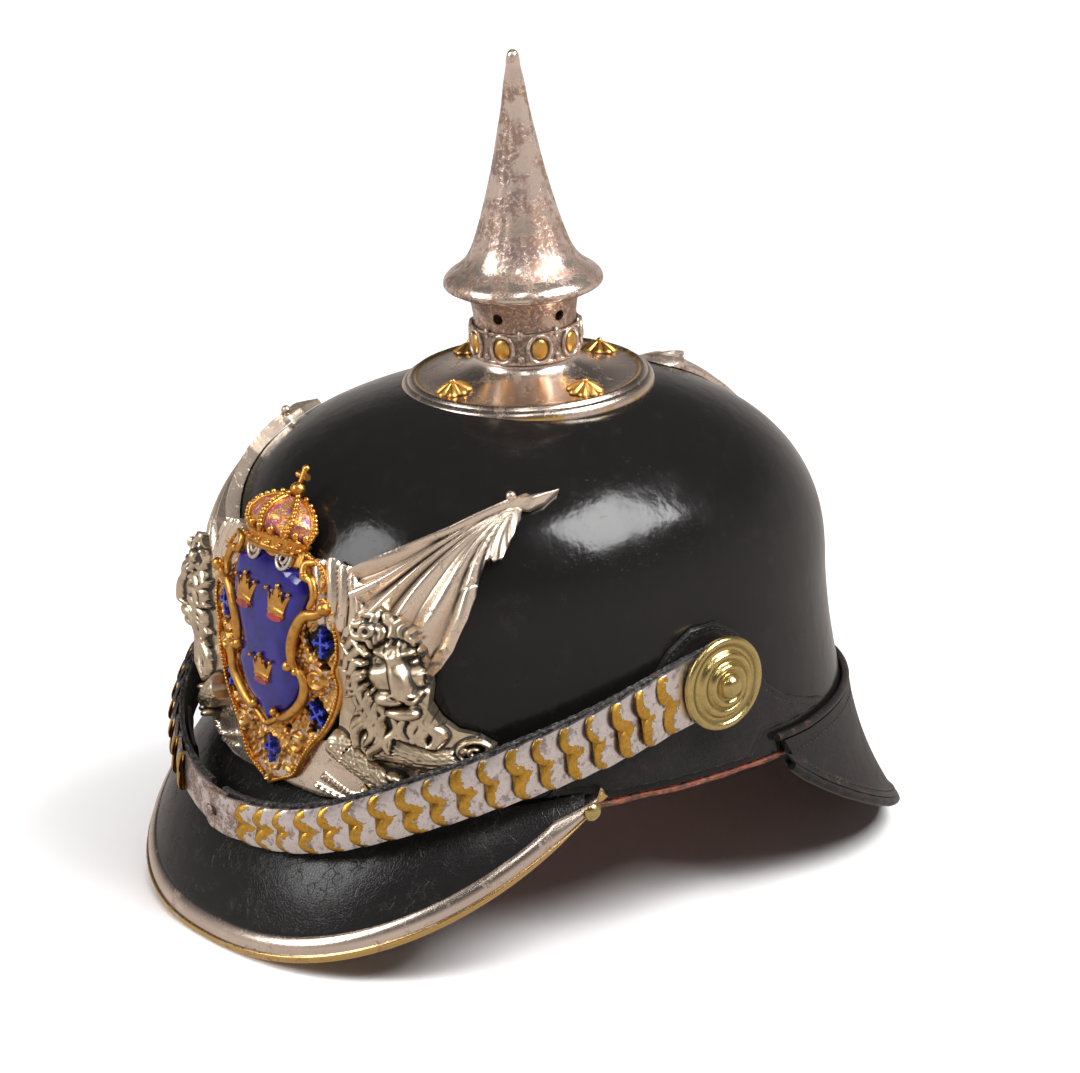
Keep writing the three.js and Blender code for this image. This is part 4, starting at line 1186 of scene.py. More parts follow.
def build_straps():
    """Two layers of leather behind the scales, which show as a double edge above them."""
    leather = strap_edge()
    layer = [(-1, -0.9), (-1.03, -0.5), (-1.02, -0.1), (-0.97, 0.05), (-1.01, 0.2), (-1.02, 0.6),
        (-1, 0.95), (-0.5, 1.0), (0, 1.0), (0.5, 1.0), (1, 0.95), (1.03, 0.0), (1, -0.9), (0.5, -0.95),
        (0, -0.95), (-0.5, -0.95)]
    for name, start, stop in (("left", 0.0, 0.515), ("right", 0.535, 1.0)):
        s = np.linspace(start, stop, 260)[:, None] * STRAP_LENGTH
        ragged = 0.18 * np.sin(s * 1.7) * np.sin(s * 0.53 + 1)
        w = np.array([a for a, b in layer])[None]
        half = np.where(w < 0, width_at(s, 12.3, 7.8) + ragged, width_at(s, 8.4, 5.6))
        shape = Shape()
        add_sweep(shape, on_strap(s, w * half, np.array([b for a, b in layer])[None]))
        piece("strap_leather_" + name, shape, [leather], ["strap_" + name])


def scale_metal():
    """Silvered scales, gilt in irregular bands along their lobes, with violet tarnish and black specks."""
    f = Finish("scale_metal")
    edge, tile, hollow = f.value("gold"), f.value("tile"), f.value("hollow")
    wander = f.noise(2.6, 3, 0.55)
    gold = (edge + (wander - 0.5) * 1.15 + (tile - 0.5) * 0.28).step(0.44, 0.50)
    violet = (f.noise(3.6, 4, 0.65) + edge * 0.14).step(0.55, 0.66)
    specks = f.noise(0.9, 4, 0.7).step(0.60, 0.66) * f.noise(4.5, 2).step(0.45, 0.6)
    base = f.mix(f.noise(1.4, 4, 0.7).step(0.4, 0.8), (0.93, 0.85, 0.81), (0.70, 0.61, 0.58))
    base = f.mix(violet * 0.7, base, (0.34, 0.24, 0.28))
    gilding = f.mix(f.noise(1.1, 3).step(0.35, 0.75), (0.78, 0.44, 0.075), (0.56, 0.29, 0.045))
    rim = (gold.step(0.05, 0.5) * (1 - gold.step(0.5, 0.95))).clamped()
    shade = f.mix(gold, base, gilding)
    # Black specks, a dark line at the gilt's border, and painted shade from the hollow value.
    shade = f.mix((rim * 0.75 + specks * 0.85 + hollow.step(0.2, 0.8) * 0.9).clamped(), shade,
        (0.03, 0.022, 0.022))
    rough = 0.24 + f.noise(0.8, 3) * 0.14 + gold * 0.05 + specks * 0.3
    height = gold * 0.6 + f.noise(0.9, 3) * 0.4
    return f.surface(Base_Color=shade, Roughness=rough, Metallic=1 - specks * 0.6 - hollow.step(0.4, 0.9) *
        0.5, Normal=f.bump(height, 0.09))


def add_scale(shape, start, pitch, facing, lift, shade):
    """One domed tile: its front edge has two lobes and lies over the next tile."""
    lobe = settings("sizes").scale_lobe
    length = pitch + 2.6
    u = np.linspace(0, 1, 15)[:, None]
    w = np.linspace(-1, 1, 37)[None]
    two = np.abs(np.sin(np.pi * w)) ** 0.75
    reach = (length + lobe * two) * u
    s = start + facing * reach
    half = width_at(s, 11.6, 6.9)
    dome = 0.9 * two * np.clip((reach - 2.0) / length, 0, 1) ** 1.5
    turn_down = -0.55 * np.clip((u - 0.82) / 0.18, 0, 1) ** 2
    rise = 2.1 + lift * reach / length - 0.9 * w * w + dome + turn_down
    front = on_strap(s, w * half, rise + 0.5)
    back = on_strap(s, w * half, rise - 0.5)
    left = length + lobe * two - reach
    gold = np.clip(1 - left / (4.6 + 3.4 * bell(w, 0.42)), 0, 1)
    gold = gold * np.clip((1.03 - np.abs(w)) / 0.1, 0, 1)
    # Painted shade: a dark band just past the lobes of the tile that lies over this one, and a thinner one
    # along this tile's own lobed edge.
    covered = 2.6 + lobe * two
    dark = bell(reach - covered, 0.6) + 0.55 * bell(left, 0.35)
    loop = np.concatenate([front, back[:, ::-1]], 1)
    both = lambda values: np.concatenate([values, values[:, ::-1]], 1).ravel()
    add_sweep(shape, loop, gold=both(gold), hollow=both(dark), tile=shade)


def build_scales():
    metal = scale_metal()
    chance = np.random.default_rng(4)
    start = 15.8 * 0.55
    runs = [("left", start, STRAP_LENGTH * 0.468, 18), ("right", STRAP_LENGTH - start, STRAP_LENGTH * 0.6,
        15)]
    for side, first_s, last_s, count in runs:
        facing = 1 if last_s > first_s else -1
        first = abs(last_s - first_s) * 0.07
        pitch = (abs(last_s - first_s) - first) / (count - 1)
        shape = Shape()
        for n in range(count):
            begin = first_s + facing * (first + (n - 1) * pitch if n else 0)
            add_scale(shape, begin, pitch if n else first, facing, 1.9 if n else 0.8, chance.random())
        nodes = [f"scales_{side}_{number + 1}" for number in range(math.ceil(count / 3))]
        piece("chin_scales_" + side, shape, [metal], nodes, sharp=50)


def build_end_plates():
    """Two smooth plates over the middle of the visor, hooked together by a stud in a slot."""
    metal = silver("end_plate_silver", worn=0.85, size_mm=5.0, rough=0.22, tint=(0.80, 0.74, 0.72))
    for name, start, stop, low, high in (("left", 0.472, 0.535, 2.0, 3.7),
            ("right", 0.505, 0.598, 1.9, 1.9)):
        s = np.linspace(start, stop, 60)[:, None] * STRAP_LENGTH
        w = np.concatenate([np.linspace(-1, 1, 19), np.linspace(1, -1, 19)])[None]
        side = np.concatenate([np.full(19, 0.5), np.full(19, -0.5)])[None]
        share = (s / STRAP_LENGTH - start) / (stop - start)
        ease = np.clip(share / 0.45, 0, 1)
        rise = low + (high - low) * ease**2 * (3 - 2 * ease)
        end = np.sqrt(np.clip(1 - np.clip((share - 0.86) / 0.14, 0, 1) ** 2 * 0.75, 0,
            1)) if name == "left" else 1
        bead = 0.4 * bell(share - 0.05, 0.025) + 0.3 * bell(share - 0.13, 0.02)
        lift = rise + side + np.where(side > 0, bead, 0) - 0.5 * w * w
        shape = Shape()
        add_sweep(shape, on_strap(s, w * 6.9 * end, lift))
        if name == "right":
            s_stud = 0.521 * STRAP_LENGTH
            turn = circle(24)[None]
            rows = [(1.1, 2.0), (1.1, 4.7), (1.9, 4.8), (2.0, 5.2), (1.6, 5.7), (0.7, 5.9), (0.01, 5.9)]
            r = np.array([a for a, b in rows])[:, None]
            knob = on_strap(s_stud + r * np.cos(turn), r * np.sin(turn),
                np.array([b for a, b in rows])[:, None])
            shape.add(knob, grid_faces(len(rows), 24, around=True))
        made = piece("end_plate_metal_" + name, shape, [metal], ["end_plate_" + name])
        if name == "left":
            cut_slot(made)


def cut_slot(item):
    """Cuts the slot for the stud through an end plate."""
    s = 0.521 * STRAP_LENGTH + np.array([-3.2, 3.2])[:, None]
    turn = np.linspace(-np.pi / 2, np.pi / 2, 9)
    ring = np.vstack([np.column_stack([3.2 - 1.5 + 1.5 * np.cos(turn), 1.5 * np.sin(turn)]),
        np.column_stack([-(3.2 - 1.5) - 1.5 * np.cos(turn), 1.5 * np.sin(turn[::-1])])])
    middle = float(s.mean())
    rows = np.stack([on_strap(middle + ring[:, 0], ring[:, 1], level) for level in (1.0, 7.0)])
    drill = Shape()
    add_sweep(drill, rows)
    mesh = bpy.data.meshes.new("slot_drill")
    mesh.from_pydata(to_row(np.vstack(drill.points)).tolist(), [], drill.all_faces())
    clean(mesh)
    cut_away(item, mesh)


def cut_away(item, cutter_mesh):
    """Subtracts a closed mesh from a piece."""
    cutter = new_object("drill", cutter_mesh)
    cut = item.modifiers.new("cut", "BOOLEAN")
    cut.operation, cut.object, cut.solver = "DIFFERENCE", cutter, "EXACT"
    apply_modifiers(item)
    bpy.data.objects.remove(cutter)


def build_far_loop():
    """A thick leather end that stands up behind the far scales, with a brown cut edge."""
    s = np.linspace(0.60, 0.66, 30)[:, None] * STRAP_LENGTH
    turn = circle(20)[None]
    points = on_strap(s, -3.0 + 5.5 * np.sin(turn), -2.4 + 1.1 * np.cos(turn))
    shape = Shape()
    add_sweep(shape, points)
    leather = worn_leather("loop_leather", gloss=0.4, grain=1.0, edge=1.4)
    piece("strap_keeper_leather", shape, [leather])


# --- front plate: flags, lions and pedestal
FLAG = [(60.5, 103.2), (54.2, 97.6), (43.9, 91.4), (32.9, 84.8), (35.6, 78), (39.2, 72.1), (44, 62),
    (50, 52), (54.8, 49.6), (58.8, 52.9), (62.6, 58.4), (65.3, 64.2), (67.5, 73.7), (67.8, 80.2),
    (66.4, 88.5), (66, 91.5), (67.6, 89.3), (69.1, 90.2), (67.5, 96), (64.4, 101.4)]
DRAPE = [(15, 84.6), (26.5, 87), (29.4, 85.8), (34.5, 85.6), (37.8, 77), (40, 71), (36.5, 66), (27, 66),
    (22, 74)]
SPEAR = [(59.4, 103.9), (61.2, 105.0), (62.4, 104.5), (65.4, 105.0), (66.4, 102.6), (65.6, 101.4),
    (63.4, 101.9), (60.6, 101.6)]
LION = [(41, 73.5), (46.5, 75), (52.5, 74), (56.5, 70), (59.3, 65), (60.2, 58), (60.6, 52), (59.8, 46),
    (62, 41), (65.8, 36.8), (70.4, 35), (73.6, 31.6), (72.6, 27), (71.6, 24.6), (68.8, 21.8), (62.5, 20.4),
    (55, 20.4), (51.5, 14.6), (44.5, 13), (39.6, 16.6), (34.5, 21.8), (29.2, 25.4), (31.8, 34), (32.4, 42),
    (32.8, 52), (32.6, 60), (35, 68)]
PEDESTAL = [(0, 9), (24, 8), (36, 9.6), (50, 12.6), (57, 17.5), (61, 21), (56, 27), (40, 30), (20, 26),
    (0, 24)]
KNOT = (62.0, 103.0)


def flag_height(a, b):
    """Soft folds that fan out from the knot, a hem bar along the pole and two smaller hems."""
    da, db = a - KNOT[0], KNOT[1] - b
    reach = np.hypot(da, db)
    fan = (np.degrees(np.arctan2(-da, db)) + 14) / 72
    fan = fan + 0.045 * np.sin(reach / 11.0) * np.sin(3 * np.pi * fan)
    fold = 0.5 - 0.5 * np.cos(2 * np.pi * 5.5 * fan + 0.8 * np.sin(reach / 9.0))
    swell = np.clip(reach / 30.0, 0.12, 1.0)
    pole, _ = along_line(a, b, FLAG[:4])
    hem, _ = along_line(a, b, [(33.6, 83.6), (36.6, 77.6), (40.0, 71.6)])
    low_hem, _ = along_line(a, b, FLAG[8:14])
    seam = np.clip(1 - np.abs(low_hem - 3.4) / 0.7, 0, 1)
    rise = 2.4 + 3.3 * fold**0.7 * swell
    rise = np.where(low_hem < 3.4, rise * 0.75 + 1.0, rise) - 0.5 * seam
    rise = np.maximum(rise, 2.0 + 2.8 * round_bar(pole, 1.7))
    return np.maximum(rise, 2.0 + 2.2 * round_bar(hem, 1.5))


def drape_height(a, b):
    """Bunched ribbons beside the cartouche."""
    rise = np.full(a.shape, 2.0)
    for x, z, low_x, low_z, width in ((20.5, 84, 25.5, 69, 2.6), (25.5, 86, 30.0, 68, 2.6),
            (30.4, 85, 33.4, 68, 2.3), (34.5, 83, 37.4, 68, 2.0)):
        line = [(x, z), ((x + low_x) / 2 + 1.2, (z + low_z) / 2), (low_x, low_z)]
        away, _ = along_line(a, b, smooth_path(line, 10))
        rise = np.maximum(rise, 2.0 + 3.4 * round_bar(away, width))
    return rise


FACE, FACE_RADII = (52.3, 57.4), (7.9, 11.4)


def lion_locks():
    """Wavy lines of the mane and beard, as (points, width, height), each from its root to its tip."""
    chance = np.random.default_rng(11)
    locks = []
    for ring, (out_by, count, reach) in enumerate(((1.0, 25, 1.0), (1.45, 19, 0.8), (0.86, 15, 0.62))):
        for turn in np.linspace(-58, 238, count):
            t = math.radians(turn + chance.uniform(-4, 4))
            start = np.array([FACE[0] + FACE_RADII[0] * out_by * math.cos(t),
                FACE[1] + FACE_RADII[1] * out_by * math.sin(t)])
            if start[0] > 60.5 or (ring == 2 and turn > -20 and turn < 200):
                continue
            droop = 0.5 - 0.5 * math.sin(t)
            way = unit(np.array([math.cos(t) * (1.1 - droop), math.sin(t) * (1 - droop) - 1.5 * droop]))
            side = np.array([-way[1], way[0]]) * (1.5 if math.cos(t) > 0 else -1.5)
            length = reach * (7.5 + 7.0 * droop) * chance.uniform(0.85, 1.15)
            bends = [start, start + way * length * 0.33 + side * 0.8, start + way * length * 0.68 - side *
                0.7, start + way * length + side * 0.5]
            locks.append((bends, 1.8, 3.2 - 0.3 * ring))
    beard = [(46.5, 44, 43), (44, 45.5, 38.2), (49, 43, 46.6), (51.4, 42, 49.8), (54.0, 42, 53.8),
        (56.6, 43, 57.4), (59.0, 45, 60.6), (47.6, 37, 44.4), (52.6, 36, 51.8), (56.6, 37, 56.2),
        (42.6, 39, 36.6), (60, 40, 62.4)]
    for number, (x, z, low_x) in enumerate(beard):
        sway = 1.3 if number % 2 else -1.3
        tip = z - 13.5 + 1.2 * (number % 3)
        locks.append(([(x, z), (x * 0.65 + low_x * 0.35 + sway, z - 4.2),
            (x * 0.3 + low_x * 0.7 - sway, z - 8.6), (low_x + sway * 0.4, tip)], 1.75, 3.0))
    return locks


LOCKS = lion_locks()


def lion_face(a, b):
    """The face in front of the mane: brows, sunk eyes, a long flat nose, a broad muzzle and a thin mouth."""
    bulge = np.clip(1 - ((a - FACE[0]) / FACE_RADII[0]) ** 2 - ((b - FACE[1]) / FACE_RADII[1]) ** 2, 0,
        None)
    face = 6.2 + 5.6 * np.sqrt(bulge)
    inner = np.clip(bulge * 4, 0, 1)

    def soft(x, z, radius_x, radius_z, turn=0.0):
        return soft_at(a, b, (x, z), (radius_x, radius_z), turn) * inner

    for x, z, turn in ((47.7, 64.4, -24), (56.9, 65.0, 24)):
        face = face + 3.0 * soft(x, z, 3.4, 1.2, turn)
    for x, z in ((47.6, 61.2), (56.9, 61.8)):
        face = face - 4.2 * soft(x, z, 2.7, 1.9) + 3.4 * soft(x, z - 0.2, 1.25, 0.85)
    for x, z in ((45.8, 56.4), (58.4, 57.2)):
        face = face + 1.2 * soft(x, z, 2.6, 2.6)
    face = face - 1.3 * soft(52.0, 67.0, 0.7, 2.4)
    away, share = along_line(a, b, [(52.2, 64.5), (53.9, 58.5), (55.0, 52.6)])
    wide = 1.1 + 0.9 * share
    face = face + inner * (1.4 + 3.0 * share) * np.clip(1 - (away / (wide + 0.9)) ** 4, 0, 1)
    turn = np.arctan2(b - FACE[1], a - FACE[0])
    face = face + 0.22 * np.sin(turn * 38 + 3 * np.sin(np.hypot(a - 54, b - 58) * 0.9)) * np.clip(1 - bulge
        * 1.4, 0, 1)
    for x, z in ((51.3, 49.6), (58.3, 50.3)):
        pad = bump_at(a, b, (x, z), (4.3, 3.1))
        face = np.maximum(face, np.where(pad > 0, 9.8 + 4.4 * pad, 0))
    tip = bump_at(a, b, (55.0, 51.7), (3.1, 1.6))
    face = np.maximum(face, np.where(tip > 0, 13.4 + 1.9 * tip, 0))
    for x, z, turn in ((53.0, 51.1, -20), (57.0, 51.4, 20)):
        face = face - 1.6 * soft_at(a, b, (x, z), (0.9, 0.55), turn)
    chin = bump_at(a, b, (54.0, 44.6), (4.3, 2.3))
    face = np.maximum(face, np.where(chin > 0, 10.0 + 3.2 * chin, 0))
    mouth, _ = along_line(a, b, [(47.4, 46.0), (50.8, 47.2), (54.6, 47.8), (58.4, 47.4), (61.0, 46.4)])
    split, _ = along_line(a, b, [(54.9, 50.4), (54.6, 48.0)])
    return face - 2.6 * bell(mouth, 0.7) - 1.2 * bell(split, 0.4), np.maximum(bulge, chin)


def lion_height(a, b):
    """A crouching lion seen from the front: its mane, its face, its beard and its two forelegs."""
    base = 2.6 + 7.6 * soft_at(a, b, (49.5, 56), (14.5, 19)) + 3.6 * soft_at(a, b, (50, 30), (19, 9))
    hair = np.zeros(a.shape)
    for line, width, height in LOCKS:
        hair = np.maximum(hair, strand(a, b, line, width, height))
    rise = base + hair
    face, within = lion_face(a, b)
    rise = np.where(within > 0.02, np.maximum(face, rise * 0.9), np.maximum(rise, face - 4))
    for x, z in ((44.6, 69.6), (57.0, 69.6)):
        rise = np.maximum(rise, 9.6 + 3.0 * bump_at(a, b, (x, z), (2.4, 2.2)) - 2.6 *
            soft_at(a, b, (x, z), (1.1, 1.0)) - 9.6 * (bump_at(a, b, (x, z), (2.4, 2.2)) == 0))
    for line, width, top in (([(44.5, 31), (52.7, 29.8), (59, 27.4), (67, 26.4), (70.6, 25.6)], 5.0, 9.0),
            ([(32.5, 28.5), (38.1, 24.8), (44, 20.8), (47.4, 18)], 4.9, 9.8)):
        away, share = along_line(a, b, smooth_path(line, 16))
        thick = width * (1.1 - 0.25 * share)
        leg = top * (0.42 + 0.58 * round_bar(away, thick))
        fur = 0.16 * np.sin(away * 4.2 + 1.4 * np.sin(share * 22)) + 0.1 * np.sin(share * 70 + away * 5)
        rise = np.where((away < thick) & ((share > 0.22) | (hair < 0.6)), np.maximum(leg + fur, rise * 0.6),
            rise)
    for paw in (((67, 24.2), (71, 23.4), (64, 22.4)), ((49.6, 17.6), (46.4, 15.2), (43, 14.8),
            (51.0, 20.6))):
        for x, z in paw:
            toe = bump_at(a, b, (x, z), (2.6, 1.45), -35)
            rise = np.maximum(rise, np.where(toe > 0, 6.6 + 3.2 * toe, 0))
    curl = np.hypot(a - 69.6, b - 30.4)
    spiral = np.arctan2(b - 30.4, a - 69.6) / (2 * np.pi)
    coil = 0.5 + 0.5 * np.cos(2 * np.pi * (curl / 2.5 - spiral))
    return np.where(curl < 4.6, 4.0 + 2.6 * coil**0.6, rise)


def pedestal_height(a, b):
    """The ledge under the lion: curls beside a framed panel with a rope border."""
    rise = 2.4 + 1.8 * np.clip((18 - b) / 9, 0, 1)
    rope, share = along_line(a, b, [(25, 14.6), (36, 10.6), (45, 12.4)])
    rope_bar = 5.4 * round_bar(rope, 1.5) * (0.86 + 0.14 * np.sin(share * 95 + rope * 2))
    bar, _ = along_line(a, b, [(22, 11.4), (35.4, 8.9), (46, 10.4)])
    rise = np.maximum(rise, rope_bar)
    rise = np.maximum(rise, 5.0 * round_bar(bar, 1.1))
    for x, z, radius in ((58, 19.8, 3.3), (52.5, 17.4, 2.8)):
        away = np.hypot(a - x, b - z)
        coil = 0.5 + 0.5 * np.cos(2 * np.pi * (away / 2.0 - np.arctan2(b - z, a - x) / (2 * np.pi)))
        rise = np.where(away < radius, 4.2 + 2.0 * coil, rise)
    return rise


def darkness(height, a, b, reach=0.9, gain=0.55):
    """How far a place lies below its surroundings, from 0 to 1."""
    here = height(a, b)
    around = [height(a + reach * math.cos(t), b + reach * math.sin(t)) for t in
        np.linspace(0, 2 * np.pi, 8)[:-1]]
    return np.clip((np.mean(around, 0) - here) * gain + 0.06, 0, 1)


def build_front_plate():
    """Each half is built on the wearer's left and on the right as its mirror image."""
    metal = silver("plate_relief_silver", worn=0.15, size_mm=4.0, rough=0.2, tint=(0.90, 0.75, 0.60))
    lion_metal = relief_metal()
    shape = Shape()
    for side in (1, -1):
        surface = lambda a, b: skull_front(side * a, b, 0.0)

        def part(outline, height, step, finish=0, gain=0.55, floor=GAP):
            box = (*np.min(outline, 0), *np.max(outline, 0))
            # The hollow value from darkness() gives painted shade in the relief's low places.
            add_relief(shape, within(outline), height, surface, box, step, floor, finish, lambda a,
                b: darkness(height, a, b, gain=gain))

        part(FLAG, flag_height, 0.42, gain=1.0)
        part(DRAPE, drape_height, 0.5, gain=1.0, floor=1.2)
        part(SPEAR, lambda a, b: 2.4 + 1.8 * np.clip(inside(SPEAR, a, b), 0, 1.4), 0.3)
        part(PEDESTAL, pedestal_height, 0.45)
        part(LION, lion_height, 0.30, finish=1, gain=1.15, floor=1.0)
        for a, b in ((67.0, 30.1), (60.2, 103.8)):
            spot = spot_on(surface, a, b, 4.6)
            ball(shape, spot, 1.7, 0, 16, 10)
    # A ground sheet behind the cartouche, made near black all over by a full hollow value: painted shade that
    # shows through the frame's openings.
    ground = [(x * 0.93, 48 + (z - 48) * 0.93) for x, z in mirrored(FRAME)]
    add_relief(shape, within(ground), level(GAP + 1.2), plate_front, (-33, 6, 33, 89), 0.9,
        hollow=level(1.0))
    piece("front_plate_relief", shape, [metal, lion_metal], ["front_plate"], sharp=60)


def relief_metal():
    """Cast silver gone warm and dark, bright only on its high places."""
    f = Finish("cast_silver")
    hollow = f.value("hollow")
    cloud = f.noise(5, 4, 0.6).step(0.4, 0.7)
    shade = f.mix(cloud, (0.84, 0.69, 0.50), (0.62, 0.49, 0.35))
    # Painted shade: near black where the hollow value is high.
    shade = f.mix((hollow.step(0.07, 0.5) * 0.95).clamped(), shade, (0.035, 0.032, 0.034))
    rough = 0.27 + f.noise(0.7, 3) * 0.12 + hollow * 0.3
    return f.surface(Base_Color=shade, Roughness=rough, Metallic=1 - hollow.step(0.35, 0.9) * 0.55,
        Normal=f.bump(f.noise(0.55, 3), 0.06))


# --- arms: shield, cartouche and crowns
SHIELD = [(0, 27.0), (5.8, 31.4), (11, 34.6), (14.2, 38.6), (17.6, 45.9), (15.2, 50.4), (13.4, 54.9),
    (15.2, 60.5), (18.8, 67.5), (20.2, 75), (17.9, 80.2), (12.2, 81.6), (6.5, 84.4), (0, 83.4)]
FRAME = [(0, 6.4), (8.5, 10.2), (13.0, 12.6), (16.4, 18.2), (20.8, 24.6), (26.8, 31.4), (31.2, 39.6),
    (33.2, 48), (32.0, 53.2), (33.6, 57.8), (33.3, 64.8), (30.4, 70.2), (31.3, 72.2), (28.4, 74),
    (25.2, 75.6), (26.2, 79.8), (22.6, 84), (16.4, 85.6), (8, 88.6), (0, 88.6)]
ARMS_SEAT = GAP + 1.6
CROWN_SEAT = 6.2  # where the small crowns sit, off the skull


def mirrored(half):
    return [*half, *[(-a, b) for a, b in half[::-1] if a > 0]]


def plate_front(a, b):
    return skull_front(a, b, 0.0)


def build_shield():
    outline = mirrored(SHIELD)
    distance = within(outline)

    def height(a, b):
        edge = np.clip(distance(a, b) / 6.0, 0, 1)
        return 3.2 + 3.2 * np.sqrt(np.clip(1 - (1 - edge) ** 2, 0, 1))

    shape = Shape()
    add_relief(shape, distance, height, plate_front, (-20.4, 27, 20.4, 84.4), step=0.55, floor=ARMS_SEAT)
    tint = settings("colours").enamel
    blue = enamel("blue_enamel", tint, tuple(c * 0.6 for c in tint), rough=0.12, coat=0.3)
    piece("shield_enamel", shape, [blue], ["shield"])


SCROLLS = [([(21.8, 71.6), (23.4, 75.4), (21.4, 79.4), (17.6, 80.4), (17.2, 83.4), (21.0, 84.6)], 1.5),
    ([(29.0, 72.8), (25.2, 70.4), (20.4, 69.0), (17.0, 64.4), (14.8, 58.6), (14.6, 53.4), (16.8, 50.4)],
    2.0), ([(14.0, 51.6), (18.2, 49.6), (19.8, 45.4), (18.2, 39.8), (13.8, 34.8), (8.4, 31.4), (5.0, 32.6)],
    1.9), ([(6.0, 30.6), (3.0, 28.6), (0, 26.8)], 1.2)]
ROSES = [(24.4, 48.6, 4.6), (14.6, 24.2, 4.5), (26.0, 80.0, 2.4), (0, 8.6, 2.6)]
CROSSES = [(26.4, 61.4, 0), (23.2, 36.0, 35), (0.0, 17.8, 0)]
BALLS = [(28.2, 72.8, 2.3), (13.6, 51.4, 2.0), (5.4, 32.8, 1.6), (18.6, 80.2, 1.5), (16.8, 50.2, 1.4)]
VOLUTE = [(7.6 + r * math.cos(t), 83.4 + r * math.sin(t)) for t, r in
    zip(np.linspace(0.6, 4.4 * math.pi, 26), np.linspace(0.5, 3.9, 26))]


def frame_openings(a, b):
    """Above 0 in the dark openings of the frame, which lie round the crosslets and beside the scrolls."""
    hole = np.full(a.shape, -9.0)
    for x, z, width, tall, turn in ((26.2, 61.4, 4.8, 6.2, -8), (23.2, 36.2, 4.4, 5.0, 35),
            (0, 17.8, 4.4, 5.2, 0), (20.6, 61.0, 1.5, 4.4, 16), (22.6, 76.6, 1.7, 1.9, 0),
            (9.2, 28.0, 1.8, 1.3, 30), (20.6, 30.4, 1.5, 2.0, 40), (8.2, 16.4, 1.6, 2.6, 20),
            (27.6, 53.6, 1.6, 1.3, 0)):
        u, v = about(np.abs(a), b, (x, z), turn, (width, tall))
        lumps = 1 + 0.14 * np.sin(4 * np.arctan2(v, u) + x)
        hole = np.maximum(hole, (lumps - (np.abs(u) ** 2.6 + np.abs(v) ** 2.6) ** (1 / 2.6)) *
            min(width, tall))
    return hole


def cartouche_height(a, b):
    """The frame's ground: chased, with raised borders round its openings, roses and a panel at its top."""
    a = np.abs(a)
    rise = 3.4 + 0.4 * np.sin(a * 2.2 + 0.6 * b) * np.sin(b * 1.9 - 0.5 * a)
    rise = rise + 0.9 * bell(frame_openings(a, b) + 0.8, 0.55)
    for x, z, radius in ROSES:
        away = np.hypot(a - x, b - z)
        petals = 1 + 0.16 * np.cos(5 * np.arctan2(b - z, a - x))
        ring = 0.5 + 0.5 * np.cos(2 * np.pi * away / (radius * 0.62))
        rise = np.where(away < radius * petals, 4.4 + 1.5 * ring + 1.2 * np.clip(1 - away / radius, 0, 1),
            rise)
    panel = (a < 15.5) & (b > 79.0 + 0.2 * a)
    return np.where(panel, 5.4 + 0.9 * bell(b - 87.4, 0.8), rise)


def crosslet(a, b, x, z, turn):
    """Above 0 inside a cross with a bar across each arm."""
    u, v = about(np.abs(a), b, (x, z), turn)
    box = lambda p, q, half_p, half_q: np.minimum(half_p - np.abs(p), half_q - np.abs(q))
    cross = np.maximum(box(u, v, 3.4, 0.38), box(u, v, 0.38, 4.8))
    for end in (-1, 1):
        cross = np.maximum(cross, box(u - end * 2.5, v, 0.34, 1.1))
        cross = np.maximum(cross, box(u, v - end * 2.9, 1.1, 0.34))
    return cross


def add_scroll(shape, line, width, height, finish=0):
    """A rounded bar along a line of the plate's plan, swelling in its middle, on both sides of the plate."""
    path = smooth_path(line, 48)
    radii = width * (0.5 + 0.5 * np.sin(np.pi * np.linspace(0, 1, 48)) ** 0.6)
    for side in (1, -1):
        a, b = side * path[:, 0], path[:, 1]
        middle = raised(plate_front, a, b, np.full(48, height))
        up = raised(plate_front, a, b, np.full(48, height + 1.0)) - middle
        add_sweep(shape, rod(middle, radii, up, 12, 0.85), finish, hollow=0.0)


def add_knobs(shape, places, height, columns=14, rows=9, finish=0):
    for x, z, radius in places:
        for side in (1, -1) if x > 0.1 else (1,):
            spot = spot_on(plate_front, side * x, z, height)
            ball(shape, spot, radius, finish, columns, rows)


def build_cartouche():
    """The gilt frame round the shield, pierced between its scrolls and roses, with enamelled crosslets."""
    outline, opening = mirrored(FRAME), mirrored([(a * 0.97, b + (1 if b < 50 else -1)) for a, b in SHIELD])

    def distance(a, b):
        solid = np.minimum(inside(outline, a, b), -inside(opening, a, b))
        return np.minimum(solid, -frame_openings(a, b))

    shape = Shape()
    # The hollow value from darkness() gives painted shade in the frame's low places.
    add_relief(shape, distance, cartouche_height, plate_front, (-34, 6, 34, 89), step=0.4, floor=ARMS_SEAT,
        hollow=lambda a, b: darkness(cartouche_height, a, b, gain=0.75))
    for line, width in SCROLLS:
        add_scroll(shape, line, width, 5.9)
    add_scroll(shape, VOLUTE, 0.75, 6.7, finish=2)
    add_scroll(shape, FRAME[1:-2], 0.95, 4.2)
    add_knobs(shape, BALLS, 6.6)
    beads = even_path(smooth_path(FRAME[:-2], 300), 84)
    add_knobs(shape, [(max(x * 0.97, 0), z, 0.72) for x, z in beads], 5.0, 8, 5)
    blue = enamel("crosslet_enamel", (0.02, 0.03, 0.30), (0.03, 0.05, 0.40), rough=0.25, coat=0.3)
    for x, z, turn in CROSSES:
        add_relief(shape, lambda a, b: crosslet(a, b, x, z, turn), level(4.9), plate_front,
            (-33, z - 6, 33, z + 6), 0.24, floor=ARMS_SEAT, finish=1)
    pale = silver("volute_silver", worn=0.3, size_mm=3.0, rough=0.3, tint=(0.72, 0.68, 0.58))
    piece("cartouche_frame", shape, [chased_gilt(), blue, pale], ["cartouche"], sharp=60)


